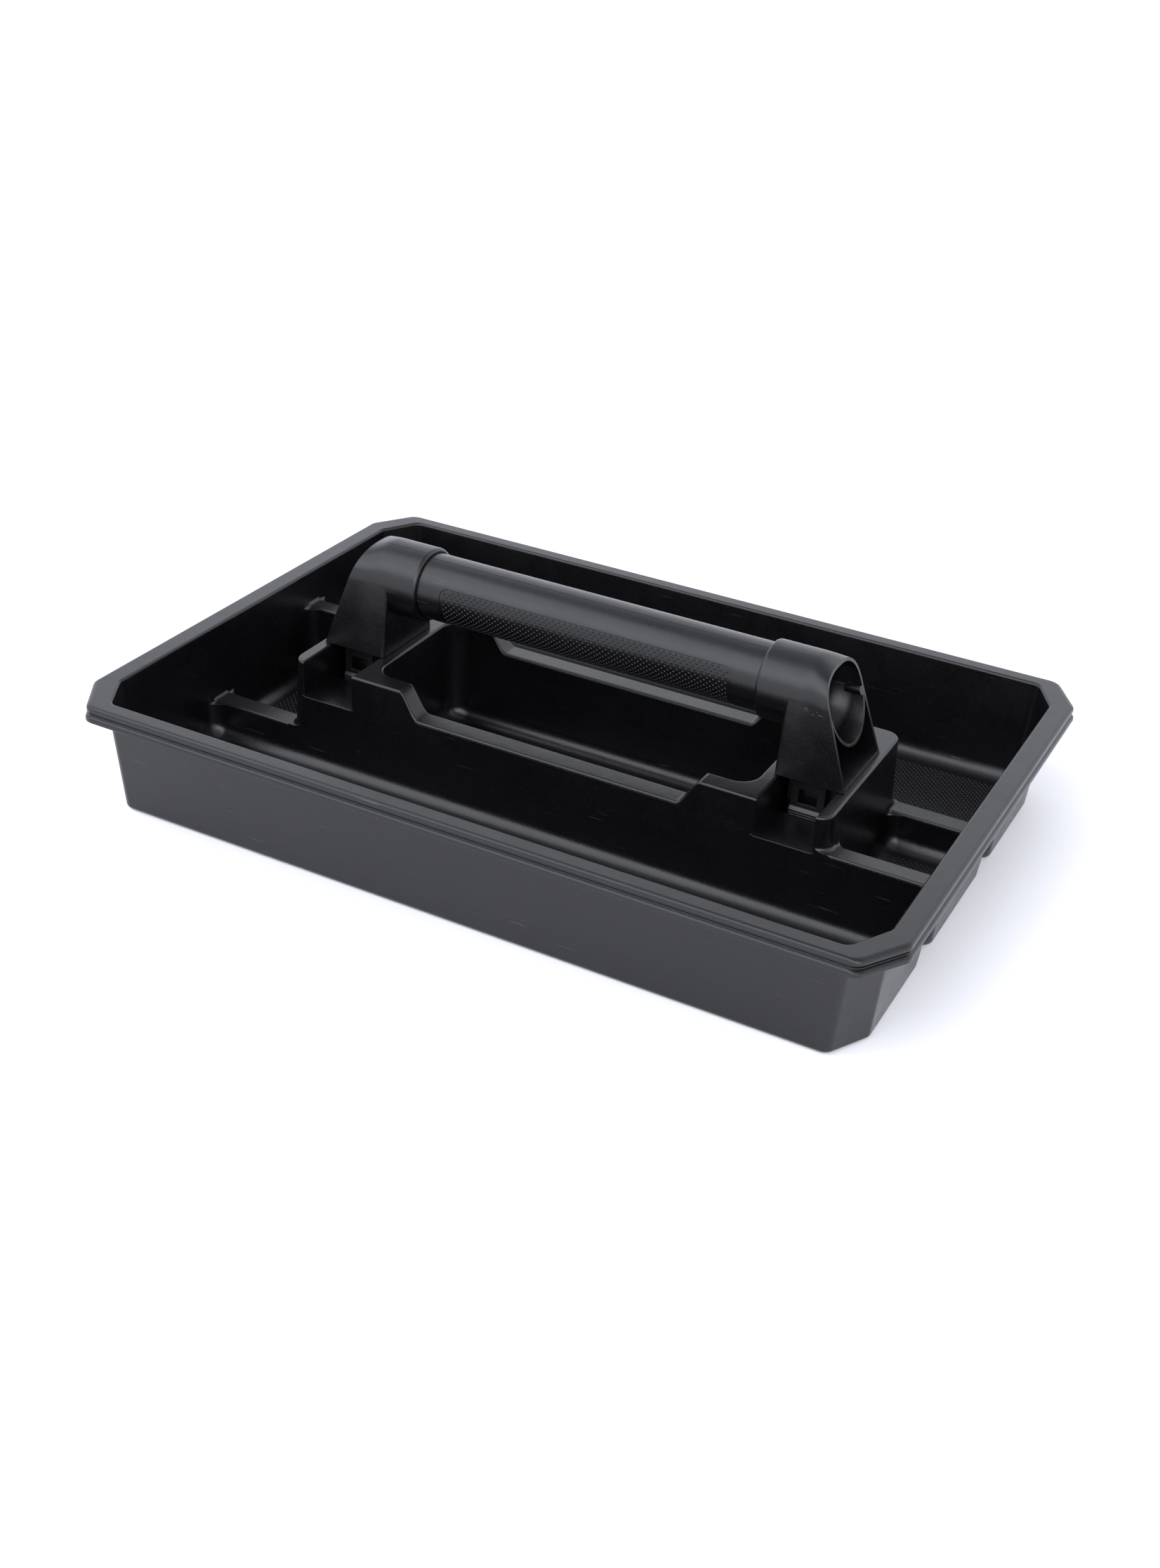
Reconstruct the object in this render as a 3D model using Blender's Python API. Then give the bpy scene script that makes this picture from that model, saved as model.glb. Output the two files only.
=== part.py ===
"""Carry tray with five compartments and a lift-off tubular handle on two posts.

Metres, +Z up. The origin is the centre of the base; X runs along the handle.
"""
import math

import bmesh
import bpy
from mathutils import Matrix, Vector

MM = 0.001

# Tray shell
HEIGHT = 70.0
BASE_X, BASE_Y = 233.6, 160.2
DRAFT_X, DRAFT_Y = 0.0783, 0.0597
WALL = 2.3
FLOOR = 2.5
FOOT_R = 3.0
BODY_TOP = 68.8
# Rim flange, skirt and lip
RIM_X, RIM_Y = 250.0, 173.0
RIM_CUT_X, RIM_CUT_Y = 17.0, 27.0
BODY_CUT_X, BODY_CUT_Y = 13.5, 24.0
SKIRT = 2.3
RIM_LOW = 59.8
LIP = 0.8
RIM_PLATE = 2.4
# Compartments
BLOCK_X, BLOCK_Y, BLOCK_TOP = 173.3, 57.6, 68.5
BLOCK_DRAFT = 0.03
BAY_Y = 46.5
WELL_X, WELL_Y, WELL_R = 122.4, 45.0, 13.0
FILLET = 9.0
EDGE_R = 1.6
ARC = 5
MOUTH = (0.0, 0.5, 0.8, 0.95, 1.0)
# Dip in the two long well walls
DIP_FRONT_Z, DIP_BACK_Z, DIP_X, DIP_TOP_X = 52.0, 54.4, 85.5, 98.0
# Ribs between the block and the end walls
RIB_HIGH, RIB_LOW = 48.0, 24.0
RIB_FLARE = 2.5
RIB_R = 1.4
CORNER_R = 9.0
NOTCH_R = 9.0
# Slots and sockets in the block ends
SLOT_IN, SLOT_OUT = 131.0, 165.0
SLOT_Z, SLOT_RAMP = 46.6, 0.7
SOCKET_Y, SOCKET_Z = 27.0, 32.0
# Handle
TUBE_Z, TUBE_R, TUBE_BORE, TUBE_HALF = 111.4, 20.0, 17.7, 138.0
SLEEVE_R, SLEEVE_BORE = 22.8, 20.3
COLLAR_X, POST_IN, POST_OUT = 109.3, 128.0, 169.9
POST_Y, POST_BASE, POST_LEAN = 27.5, 68.8, 0.35
POST_WALL, POST_FLOOR, POST_EDGE = 1.8, 2.0, 2.2
# Arch of the post: round at the collar, broader and squarer at the open end
ARCH_Y, ARCH_Z, ARCH_MID = 25.0, 21.2, 109.5
ARCH_POWER, ARCH_IN, ARCH_RUN, ARCH_STEPS = 2.7, 136.0, 16.0, 16
CRADLE_R, CRADLE_MID, CRADLE_WALL = 24.3, 110.3, 1.6
STOP_IN, STOP_Y, STOP_Z, STOP_R = 147.0, 21.4, 107.4, 2.6
PLUG_IN, PLUG_OUT, PLUG_Y, PLUG_Z = 134.0, 162.0, 17.5, 36.0
# Latch tongues
LATCH_W, LATCH_T, LATCH_Y = 20.0, 1.8, 22.8
LATCH_LOW, LATCH_HIGH = 43.5, 68.4
LATCH_PIVOT_Z = 67.5
SLOT_MID = (SLOT_IN + SLOT_OUT) / 2


def clear():
    for obj in list(bpy.data.objects):
        bpy.data.objects.remove(obj, do_unlink=True)
    for mesh in list(bpy.data.meshes):
        bpy.data.meshes.remove(mesh)


def material(name, shade, rough):
    mat = bpy.data.materials.new(name)
    mat.use_nodes = True
    bsdf = mat.node_tree.nodes["Principled BSDF"]
    bsdf.inputs["Base Color"].default_value = (shade, shade, shade * 1.04, 1)
    bsdf.inputs["Roughness"].default_value = rough
    return mat


def mesh_object(name, verts, faces):
    mesh = bpy.data.meshes.new(name)
    mesh.from_pydata([Vector(v) * MM for v in verts], [], faces)
    bm = bmesh.new()
    bm.from_mesh(mesh)
    bmesh.ops.recalc_face_normals(bm, faces=bm.faces)
    bm.to_mesh(mesh)
    bm.free()
    obj = bpy.data.objects.new(name, mesh)
    bpy.context.scene.collection.objects.link(obj)
    return obj


def loft(name, rings):
    """Closed solid through rings of equal length, flat caps at both ends."""
    n = len(rings[0])
    verts = [v for ring in rings for v in ring]
    faces = [list(range(n))[::-1]]
    for k in range(len(rings) - 1):
        for i in range(n):
            j = (i + 1) % n
            faces.append([k * n + i, k * n + j, (k + 1) * n + j, (k + 1) * n + i])
    faces.append([(len(rings) - 1) * n + i for i in range(n)])
    return mesh_object(name, verts, faces)


def prism(name, outline, axis, low, high):
    """Outline pairs swept along axis 0, 1 or 2 from low to high."""
    rings = []
    for value in (low, high):
        ring = []
        for a, b in outline:
            point = [a, b]
            point.insert(axis, value)
            ring.append(point)
        rings.append(ring)
    return loft(name, rings)


def box(name, low, high):
    outline = [(low[0], low[1]), (high[0], low[1]), (high[0], high[1]), (low[0], high[1])]
    return prism(name, outline, 2, low[2], high[2])


def rod(name, radius, low, high, segments=64):
    """Cylinder along X on the handle's axis."""
    outline = []
    for k in range(segments):
        a = 2 * math.pi * k / segments
        outline.append((radius * math.cos(a), TUBE_Z + radius * math.sin(a)))
    return prism(name, outline, 0, low, high)


def cut(target, cutter, operation="DIFFERENCE"):
    """Applies one exact Boolean and removes the cutter."""
    cutter.hide_render = True
    cutter.display_type = "WIRE"
    mod = target.modifiers.new("cut", "BOOLEAN")
    mod.operation = operation
    mod.solver = "EXACT"
    mod.object = cutter
    bpy.context.view_layer.update()
    graph = bpy.context.evaluated_depsgraph_get()
    mesh = bpy.data.meshes.new_from_object(target.evaluated_get(graph))
    old = target.data
    target.modifiers.clear()
    target.data = mesh
    bpy.data.meshes.remove(old)
    bpy.data.objects.remove(cutter, do_unlink=True)


def corner(e0, e1):
    """Crossing point of the lines n.p = c of two edges."""
    (a, b, c), (d, e, f) = e0, e1
    det = a * e - b * d
    return ((c * e - b * f) / det, (a * f - c * d) / det)


def rounded(edges, radius, seg=3):
    """Outline of a convex polygon given by edges (nx, ny, c), corners rounded."""
    points = []
    count = len(edges)
    for i in range(count):
        e0, e1 = edges[i], edges[(i + 1) % count]
        r = radius[i] if isinstance(radius, (list, tuple)) else radius
        a0, a1 = math.atan2(e0[1], e0[0]), math.atan2(e1[1], e1[0])
        if a1 < a0:
            a1 += 2 * math.pi
        cx, cy = corner((e0[0], e0[1], e0[2] - r), (e1[0], e1[1], e1[2] - r))
        for k in range(seg + 1):
            a = a0 + (a1 - a0) * k / seg
            points.append((cx + r * math.cos(a), cy + r * math.sin(a)))
    return points


def octagon(hx, hy, cx, cy):
    """Edges of a rectangle with its four corners cut off, counter-clockwise."""
    size = math.hypot(cx, cy)
    nx, ny = cy / size, cx / size
    c = nx * hx + ny * (hy - cy)
    return [(1, 0, hx), (nx, ny, c), (0, 1, hy), (-nx, ny, c),
            (-1, 0, hx), (-nx, -ny, c), (0, -1, hy), (nx, -ny, c)]


def body_ring(z, inset, radius=6.0):
    hx = BASE_X + DRAFT_X * z - inset
    hy = BASE_Y + DRAFT_Y * z - inset
    ring = rounded(octagon(hx, hy, BODY_CUT_X, BODY_CUT_Y), radius, 3)
    return [(x, y, z) for x, y in ring]


def body():
    """Outer hull of the tub, with a rounded foot."""
    rings = []
    for k in range(5):
        a = math.pi / 2 * k / 4
        rings.append(body_ring(FOOT_R * (1 - math.cos(a)), FOOT_R * (1 - math.sin(a))))
    rings.append(body_ring(BODY_TOP, 0))
    return loft("tray", rings)


def rim_ring(z, out, cut_in=0.0):
    edges = octagon(RIM_X + out, RIM_Y + out, RIM_CUT_X - cut_in, RIM_CUT_Y - cut_in)
    return [(x, y, z) for x, y in rounded(edges, 8.0, 3)]


def rim():
    """Flange with its skirt, groove and out-turned lip; open from below."""
    profile = [(RIM_LOW, LIP - 0.8), (RIM_LOW + 0.6, LIP - 0.1), (RIM_LOW + 1.5, LIP),
               (RIM_LOW + 2.8, LIP - 0.2), (RIM_LOW + 3.6, LIP - 0.8), (RIM_LOW + 4.1, -0.9),
               (RIM_LOW + 4.7, -0.9), (RIM_LOW + 5.0, -0.4), (RIM_LOW + 5.4, -0.4),
               (RIM_LOW + 5.7, -1.0), (RIM_LOW + 6.4, -1.0), (RIM_LOW + 6.8, 0.0),
               (68.2, 0.0), (69.1, -0.4), (69.7, -1.2), (HEIGHT, -2.4)]
    solid = loft("rim", [rim_ring(z, out) for z, out in profile])
    channel = [rim_ring(z, -SKIRT) for z in (RIM_LOW - 6, HEIGHT - RIM_PLATE)]
    cut(solid, loft("channel", channel))
    return solid


def quarter(z, top, r):
    """How far a rounded mouth of radius r has opened at height z."""
    t = min(max((z - top + r) / r, 0.0), 1.0)
    return r * (1 - math.sqrt(1 - t * t))


def void(name, edges, radius, mouth=EDGE_R):
    """Compartment cutter: rounded outline, filleted foot, rounded mouth.

    Each edge is (nx, ny, c at the rim, draft, height of its wall).
    """
    heights = []
    for k in range(ARC + 1):
        a = math.pi / 2 * k / ARC
        heights.append((FLOOR + FILLET * (1 - math.cos(a)), FILLET * (1 - math.sin(a))))
    tops = sorted({edge[4] for edge in edges})
    zs = sorted({round(top - mouth * (1 - share), 4) for top in tops for share in MOUTH})
    heights += [(z, 0.0) for z in zs] + [(HEIGHT + 6, 0.0)]
    rings = []
    for z, inset in heights:
        drop = HEIGHT - min(z, HEIGHT)
        now = []
        for nx, ny, c, draft, top in edges:
            now.append((nx, ny, c - draft * drop - inset + quarter(z, top, mouth)))
        shrink = [max(0.4, r - 0.85 * inset) for r in radius]
        rings.append([(x, y, z) for x, y in rounded(now, shrink, 4)])
    return loft(name, rings)


def inner_top():
    """Half size of the tub's inside at rim height."""
    return (BASE_X + DRAFT_X * HEIGHT - WALL, BASE_Y + DRAFT_Y * HEIGHT - WALL)


def trough(name, sign):
    """Long compartment in front of or behind the block."""
    hx, hy = inner_top()
    full = octagon(hx, hy, BODY_CUT_X, BODY_CUT_Y)
    pick = [full[0], full[1], full[2], full[3], full[4]]
    edges = [(nx, ny, c, DRAFT_X, HEIGHT) for nx, ny, c in pick]
    edges.append((0, -1, -BLOCK_Y, BLOCK_DRAFT, BLOCK_TOP))
    radius = [7.0, 7.0, 7.0, 7.0, CORNER_R, CORNER_R]
    if sign < 0:
        edges = [(-nx, -ny, c, d, t) for nx, ny, c, d, t in edges]
    return void(name, edges, radius)


def bay(name, sign):
    """Square compartment between the block and an end wall."""
    hx, _ = inner_top()
    edges = [(1, 0, hx, DRAFT_X, HEIGHT), (0, 1, BAY_Y, BLOCK_DRAFT, HEIGHT),
             (-1, 0, -BLOCK_X, BLOCK_DRAFT, BLOCK_TOP), (0, -1, BAY_Y, BLOCK_DRAFT, HEIGHT)]
    if sign < 0:
        edges = [(-nx, -ny, c, d, t) for nx, ny, c, d, t in edges]
    return void(name, edges, [9.0] * 4)


def well():
    edges = [(1, 0, WELL_X, BLOCK_DRAFT, BLOCK_TOP), (0, 1, WELL_Y, BLOCK_DRAFT, BLOCK_TOP),
             (-1, 0, WELL_X, BLOCK_DRAFT, BLOCK_TOP), (0, -1, WELL_Y, BLOCK_DRAFT, BLOCK_TOP)]
    return void("well", edges, [WELL_R] * 4)


def arc(cx, cy, r, start, end, count=4):
    points = []
    for k in range(count + 1):
        a = math.radians(start + (end - start) * k / count)
        points.append((cx + r * math.cos(a), cy + r * math.sin(a)))
    return points


def eased_sweep(name, outline, low, high, radius):
    """Cutter along Y over a wall whose faces lie at low and high.

    The outline sinks by radius at both faces, which rounds the wall's two top edges.
    """
    stations = [(low - 9.0, 1.0)]
    for k in range(ARC + 1):
        t = 1 - k / ARC
        stations.append((low + radius * (1 - math.sin(math.pi / 2 * t)), 1 - math.cos(math.pi / 2 * t)))
    stations += [(low + high - y, share) for y, share in reversed(stations)]
    rings = []
    for y, share in stations:
        ring = sunk(outline, radius * share)
        rings.append([(x, y, z) for x, z in ring])
    return loft(name, rings)


def sunk(outline, depth):
    """Outline (x, z) moved outward by depth, except its far top edge."""
    count = len(outline)
    area = 0.0
    for i in range(count):
        (x0, z0), (x1, z1) = outline[i], outline[(i + 1) % count]
        area += x0 * z1 - x1 * z0
    turn_sign = 1 if area > 0 else -1
    moved = []
    for i in range(count):
        x, z = outline[i]
        if z > HEIGHT + 10:
            moved.append((x, z))
            continue
        (xa, za), (xb, zb) = outline[i - 1], outline[(i + 1) % count]
        nx, nz = zb - za, xa - xb
        size = math.hypot(nx, nz)
        moved.append((x + turn_sign * nx / size * depth, z + turn_sign * nz / size * depth))
    return moved


def rib_gap(sx, sy, top):
    """Clears the space above one rib, flared where it meets both walls."""
    hx, _ = inner_top()
    r = RIB_FLARE
    outline = []
    for x, z in arc(r, top + r, r, 180, 270, ARC):
        outline.append((BLOCK_X + BLOCK_DRAFT * (HEIGHT - z) + x, z))
    for x, z in arc(-r, top + r, r, 270, 360, ARC):
        outline.append((hx - DRAFT_X * (HEIGHT - z) + x, z))
    outline += [(hx - DRAFT_X * EDGE_R, HEIGHT - EDGE_R)]
    for share in MOUTH[1:]:
        z = HEIGHT - EDGE_R * (1 - share)
        outline.append((hx - DRAFT_X * (HEIGHT - z) + quarter(z, HEIGHT, EDGE_R), z))
    outline += [(hx + EDGE_R, 90.0), (BLOCK_X - EDGE_R, 90.0)]
    for share in reversed(MOUTH):
        z = BLOCK_TOP - EDGE_R * (1 - share)
        outline.append((BLOCK_X + BLOCK_DRAFT * (HEIGHT - z) - quarter(z, BLOCK_TOP, EDGE_R), z))
    lean = BLOCK_DRAFT * (HEIGHT - top)
    low, high = BAY_Y - lean, BLOCK_Y + lean
    solid = eased_rib("gap", outline, top, low, high)
    solid.data.transform(Matrix.Diagonal((sx, sy, 1, 1)))
    if sx * sy < 0:
        solid.data.flip_normals()
    return solid


def eased_rib(name, outline, top, low, high):
    """Like eased_sweep, but only the floor of the outline sinks."""
    stations = [(low - 11.0, RIB_R)]
    for k in range(ARC + 1):
        t = math.pi / 2 * (1 - k / ARC)
        stations.append((low + RIB_R * (1 - math.sin(t)), RIB_R * (1 - math.cos(t))))
    stations += [(low + high - y, drop) for y, drop in reversed(stations)]
    rings = []
    for y, drop in stations:
        ring = []
        for x, z in outline:
            share = min(max(1 - (z - top) / RIB_FLARE, 0.0), 1.0)
            ring.append((x, y, z - drop * share))
        rings.append(ring)
    return loft(name, rings)


def outside_corner(sx, sy, levels):
    """Upright solid that fills the outside of the block's rounded corner.

    Each level is (z, growth of the corner's radius).
    """
    out = RIB_FLARE + 2.0
    rings = []
    for z, grow in levels:
        lean = BLOCK_DRAFT * (HEIGHT - min(z, HEIGHT))
        cx, cy = BLOCK_X + lean - CORNER_R, BLOCK_Y + lean - CORNER_R
        ring = arc(cx, cy, CORNER_R + grow, 0, 90, 6)
        ring += [(cx, BLOCK_Y + out), (BLOCK_X + out, BLOCK_Y + out), (BLOCK_X + out, cy)]
        rings.append([(sx * x, sy * y, z) for x, y in ring])
    return loft("corner", rings)


def block_corner(sx, sy, low):
    """Rounds one upright corner of the block above its rib, flared at the foot."""
    levels = []
    for k in range(ARC + 1):
        a = math.pi / 2 * k / ARC
        levels.append((low + RIB_FLARE * (1 - math.cos(a)), RIB_FLARE * (1 - math.sin(a))))
    for share in MOUTH:
        z = BLOCK_TOP - EDGE_R * (1 - share)
        levels.append((z, -quarter(z, BLOCK_TOP, EDGE_R)))
    return outside_corner(sx, sy, levels + [(90.0, -EDGE_R)])


def dip_outline(low, top, grow):
    """XZ outline of the dip: flat middle, S-shaped shoulders."""
    half = []
    steps = 8
    for k in range(steps + 1):
        t = k / steps
        s = t * t * (3 - 2 * t)
        half.append((DIP_X - 2 - grow + (DIP_TOP_X - DIP_X + 2) * t, low + (top - low) * s))
    return half


def dip_low(sign):
    return DIP_BACK_Z if sign > 0 else DIP_FRONT_Z


def dip(sign):
    half = dip_outline(dip_low(sign), BLOCK_TOP + 0.01, 0.0)
    right = half + [(DIP_TOP_X, HEIGHT + 20)]
    outline = right + [(-x, z) for x, z in reversed(right)]
    lean = BLOCK_DRAFT * (HEIGHT - dip_low(sign))
    low, high = WELL_Y - lean, BLOCK_Y + lean
    if sign < 0:
        low, high = -high, -low
    return eased_sweep("dip", outline, low, high, EDGE_R)


def block_top():
    """Lowers the block's top just below the rim."""
    hx = BLOCK_X + 4.0
    return box("top", (-hx, -BLOCK_Y - 4, BLOCK_TOP), (hx, BLOCK_Y + 4, 90.0))


def slot(sign):
    """Socket for the plug, and the finger slot in front of it that opens forward."""
    edge = SLOT_Z - SLOT_RAMP
    outline = [(SOCKET_Y, SOCKET_Z), (SOCKET_Y, 90.0), (-62.0, 90.0), (-62.0, edge - 0.9),
               (-58.5, edge - 0.9), (-58.1, edge - 0.25), (-57.5, edge), (-46.6, SLOT_Z),
               (-SOCKET_Y, SLOT_Z), (-SOCKET_Y, SOCKET_Z)]
    low, high = sorted((sign * SLOT_IN, sign * SLOT_OUT))
    return prism("slot", outline, 0, low, high)


def slot_edges(sign):
    """Two cutters that round the slot's long top edges and its upright end edges."""
    r = EDGE_R
    top = [(SLOT_IN, 60.0)]
    end = [(SLOT_IN, 56.0)]
    for share in MOUTH:
        z, y = BLOCK_TOP - r * (1 - share), 58.25 - r * (1 - share)
        top.append((SLOT_IN - quarter(z, BLOCK_TOP, r), z))
        end.append((SLOT_IN - quarter(y, 58.25, r), y))
    top.append((SLOT_IN - r, 90.0))
    end.append((SLOT_IN - r, 64.0))
    cutters = []
    for name, half, side, axis, low, high in (("slottop", top, 1, 1, -64.0, 20.0),
                                              ("slotend", end, -1, 2, SLOT_Z - SLOT_RAMP + 0.3, 91.0)):
        full = half + [(SLOT_IN + SLOT_OUT - x, v) for x, v in reversed(half)]
        outline = [(sign * x, side * v) for x, v in full]
        cutters.append(prism(name, outline, axis, low, high))
    return cutters


def end_hollow(sign):
    """Hollow under one block end: stepped ceiling plus the two cheeks."""
    y1, y2 = 57.3, 55.3
    step = SOCKET_Y + WALL
    outline = [(-y1, -5.0), (-y2, SLOT_Z - SLOT_RAMP - WALL), (-46.6, SLOT_Z - WALL),
               (-step, SLOT_Z - WALL), (-step, SOCKET_Z - WALL), (step, SOCKET_Z - WALL),
               (step, BLOCK_TOP - WALL), (54.9, BLOCK_TOP - WALL), (56.4, -5.0)]
    low, high = sorted((sign * (WELL_X + WALL), sign * (BLOCK_X - WALL)))
    solid = prism("hollow", outline, 0, low, high)
    for a, b in ((WELL_X + WALL, SLOT_IN - WALL), (SLOT_OUT + WALL, BLOCK_X - WALL)):
        x0, x1 = sorted((sign * a, sign * b))
        cheek = [(-56.4, -6.0), (-54.9, BLOCK_TOP - WALL), (54.9, BLOCK_TOP - WALL), (56.4, -6.0)]
        cut(solid, prism("cheek", cheek, 0, x0, x1), "UNION")
    for sy in (1, -1):
        low = (RIB_HIGH if sign * sy < 0 else RIB_LOW) - WALL - 1.0
        cut(solid, outside_corner(sign, sy, [(low, -WALL), (92.0, -WALL)]))
    return solid


def wall_hollow(sign):
    """Hollow inside one long wall of the well."""
    top = BLOCK_TOP - WALL
    half = dip_outline(dip_low(sign) - WALL, top, -2.0)
    right = half + [(WELL_X + 3.4, top), (WELL_X + 3.4, -7.0)]
    outline = right + [(-x, z) for x, z in reversed(right)]
    low, high = sorted((sign * (WELL_Y + WALL), sign * (BLOCK_Y - WALL)))
    return prism("wallhollow", outline, 1, low, high)


def rib_hollow(sx, sy, top):
    """Channel under one rib, open below; it flares round as it leaves the end wall."""
    mid = (BAY_Y + BLOCK_Y) / 2 + 0.2
    levels = [(-8.0, 10.2), (0.0, 9.6), (2.6, 6.2), (8.0, 4.4), (top - WALL, 3.3)]
    rings = []
    for z, w in levels:
        face = BASE_X + DRAFT_X * z + 0.06
        half = [(BLOCK_X - 5.0, w)]
        half += arc(face - NOTCH_R, w + NOTCH_R, NOTCH_R, -90, 0, 6)
        half += [(246.0, w + NOTCH_R + 0.1)]
        ring = half + [(x, -y) for x, y in reversed(half)]
        rings.append([(sx * x, sy * mid + y, z) for x, y in ring])
    return loft("ribhollow", rings)


QUARTERS = [(1, -1, RIB_HIGH), (-1, 1, RIB_HIGH), (1, 1, RIB_LOW), (-1, -1, RIB_LOW)]


def make_tray(mat):
    tray = body()
    cut(tray, rim(), "UNION")
    for sign in (1, -1):
        cut(tray, trough("trough", sign))
        cut(tray, bay("bay", sign))
    cut(tray, well())
    for sx, sy, top in QUARTERS:
        cut(tray, rib_gap(sx, sy, top))
        cut(tray, block_corner(sx, sy, top))
    cut(tray, block_top())
    for sign in (1, -1):
        cut(tray, dip(sign))
        cut(tray, slot(sign))
        for cutter in slot_edges(sign):
            cut(tray, cutter)
    for sign in (1, -1):
        cut(tray, end_hollow(sign))
        cut(tray, wall_hollow(sign))
    for sx, sy, top in QUARTERS:
        cut(tray, rib_hollow(sx, sy, top))
    finish(tray, mat)
    return tray


def make_tube(mat):
    tube = rod("handle_tube", TUBE_R, -TUBE_HALF, TUBE_HALF)
    cut(tube, rod("bore", TUBE_BORE, -TUBE_HALF - 5, TUBE_HALF + 5))
    finish(tube, mat)
    return tube


def flare(x):
    """Eased share, 0 to 1, of a post's change from collar to open end."""
    t = min(max((x - ARCH_IN) / ARCH_RUN, 0.0), 1.0)
    return t * t * (3 - 2 * t)


def stations(start, end):
    """X positions of a post's sections, close together where it changes."""
    return [start] + [ARCH_IN + ARCH_RUN * k / 8 for k in range(9)] + [end]


def arch_ring(x, inset, floor):
    """Post section at x: two plates leaning in to a crowned arch, inset all round."""
    t = flare(x)
    a = SLEEVE_R + (ARCH_Y - SLEEVE_R) * t - inset
    b = SLEEVE_R + (ARCH_Z - SLEEVE_R) * t - inset
    mid = TUBE_Z + (ARCH_MID - TUBE_Z) * t
    power = 2 / (2 + (ARCH_POWER - 2) * t)
    foot, base = POST_Y - inset, POST_BASE + floor - mid
    best, start = -1e9, 0.0
    for k in range(60):
        angle = math.radians(k)
        y, z = a * math.cos(angle) ** power, b * math.sin(angle) ** power
        lean = (y - foot) / (z - base)
        if lean > best:
            best, start = lean, angle
    half = [(foot, base)]
    for k in range(ARCH_STEPS + 1):
        angle = start + (math.pi / 2 - start) * k / ARCH_STEPS
        half.append((a * max(math.cos(angle), 0.0) ** power, b * math.sin(angle) ** power))
    ring = half[:-1] + [(0.0, b)] + [(-y, z) for y, z in reversed(half[:-1])]
    return [(x, y, mid + z) for y, z in ring]


def lean_cutter():
    """Everything outside the leaning open end of a post."""
    top = POST_OUT - POST_LEAN * (150.0 - POST_BASE)
    low = POST_OUT + POST_LEAN * 30.0
    outline = [(low, POST_BASE - 30), (260.0, POST_BASE - 30), (260.0, 150.0), (top, 150.0)]
    return prism("lean", outline, 1, -60.0, 60.0)


def post_hollow():
    """Space inside a post, open at its outer end."""
    xs = stations(POST_IN + POST_WALL, 200.0)
    return loft("hollow", [arch_ring(x, POST_WALL, POST_FLOOR) for x in xs])


def cradle():
    """Lower half of a pipe under the tube's end, flared with the arch."""
    rings = []
    for x in stations(POST_IN + 0.5, 185.0):
        share = flare(x)
        radius = SLEEVE_R - 0.7 + (CRADLE_R - SLEEVE_R + 0.7) * share
        mid = TUBE_Z + (CRADLE_MID - TUBE_Z) * share
        ring = []
        for r, way in ((radius, 1), (radius - CRADLE_WALL, -1)):
            for k in range(ARCH_STEPS * 2 + 1):
                a = math.radians(6 + 168 * k / (ARCH_STEPS * 2))
                ring.append((x, -way * r * math.cos(a), mid - r * math.sin(a)))
        rings.append(ring)
    return loft("cradle", rings)


def turned(name, profile, segments=64):
    """Solid of revolution on the handle's axis from (x, radius) pairs."""
    rings = []
    for x, radius in profile:
        ring = []
        for k in range(segments):
            a = 2 * math.pi * k / segments
            ring.append((x, radius * math.cos(a), TUBE_Z + radius * math.sin(a)))
        rings.append(ring)
    return loft(name, rings)


def post_shell(name):
    """Outer form of a post, its inner face rounded off all round."""
    rings = []
    for k in range(5):
        a = math.pi / 2 * k / 4
        x = POST_IN + POST_EDGE * (1 - math.cos(a))
        rings.append(arch_ring(x, POST_EDGE * (1 - math.sin(a)), 0.0))
    for x in stations(POST_IN + POST_EDGE, 185.0)[1:]:
        rings.append(arch_ring(x, 0.0, 0.0))
    return loft(name, rings)


def collar():
    r = SLEEVE_R - 0.02
    profile = [(COLLAR_X, r - 1.9), (COLLAR_X + 0.25, r - 1.15), (COLLAR_X + 0.75, r - 0.5),
               (COLLAR_X + 1.5, r - 0.12), (COLLAR_X + 2.4, r), (POST_IN + 3, r)]
    return turned("collar", profile)


def stop():
    """Bead along the cradle's back edge, just beyond the tube's end."""
    outline = []
    for k in range(12):
        a = 2 * math.pi * k / 12
        outline.append((STOP_Y + STOP_R * math.cos(a), STOP_Z + STOP_R * math.sin(a)))
    return prism("stop", outline, 0, STOP_IN, 185.0)


def make_post(name, sign, mat):
    post = post_shell(name)
    cut(post, collar(), "UNION")
    cut(post, post_hollow())
    cut(post, cradle(), "UNION")
    cut(post, stop(), "UNION")
    cut(post, lean_cutter())
    cut(post, rod("bore", SLEEVE_BORE, COLLAR_X - 5, TUBE_HALF + 0.6))
    plug = box("plug", (PLUG_IN, -PLUG_Y, PLUG_Z), (PLUG_OUT, PLUG_Y, POST_BASE + 1.2))
    cut(post, plug, "UNION")
    w = POST_WALL
    inside = box("inside", (PLUG_IN + w, -PLUG_Y + w, PLUG_Z - 5),
                 (PLUG_OUT - w, PLUG_Y - w, POST_BASE - 2.0))
    cut(post, inside)
    if sign < 0:
        turn(post)
    finish(post, mat)
    return post


def turn(obj):
    """Half a turn about Z."""
    obj.data.transform(Matrix.Rotation(math.pi, 4, "Z"))


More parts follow.
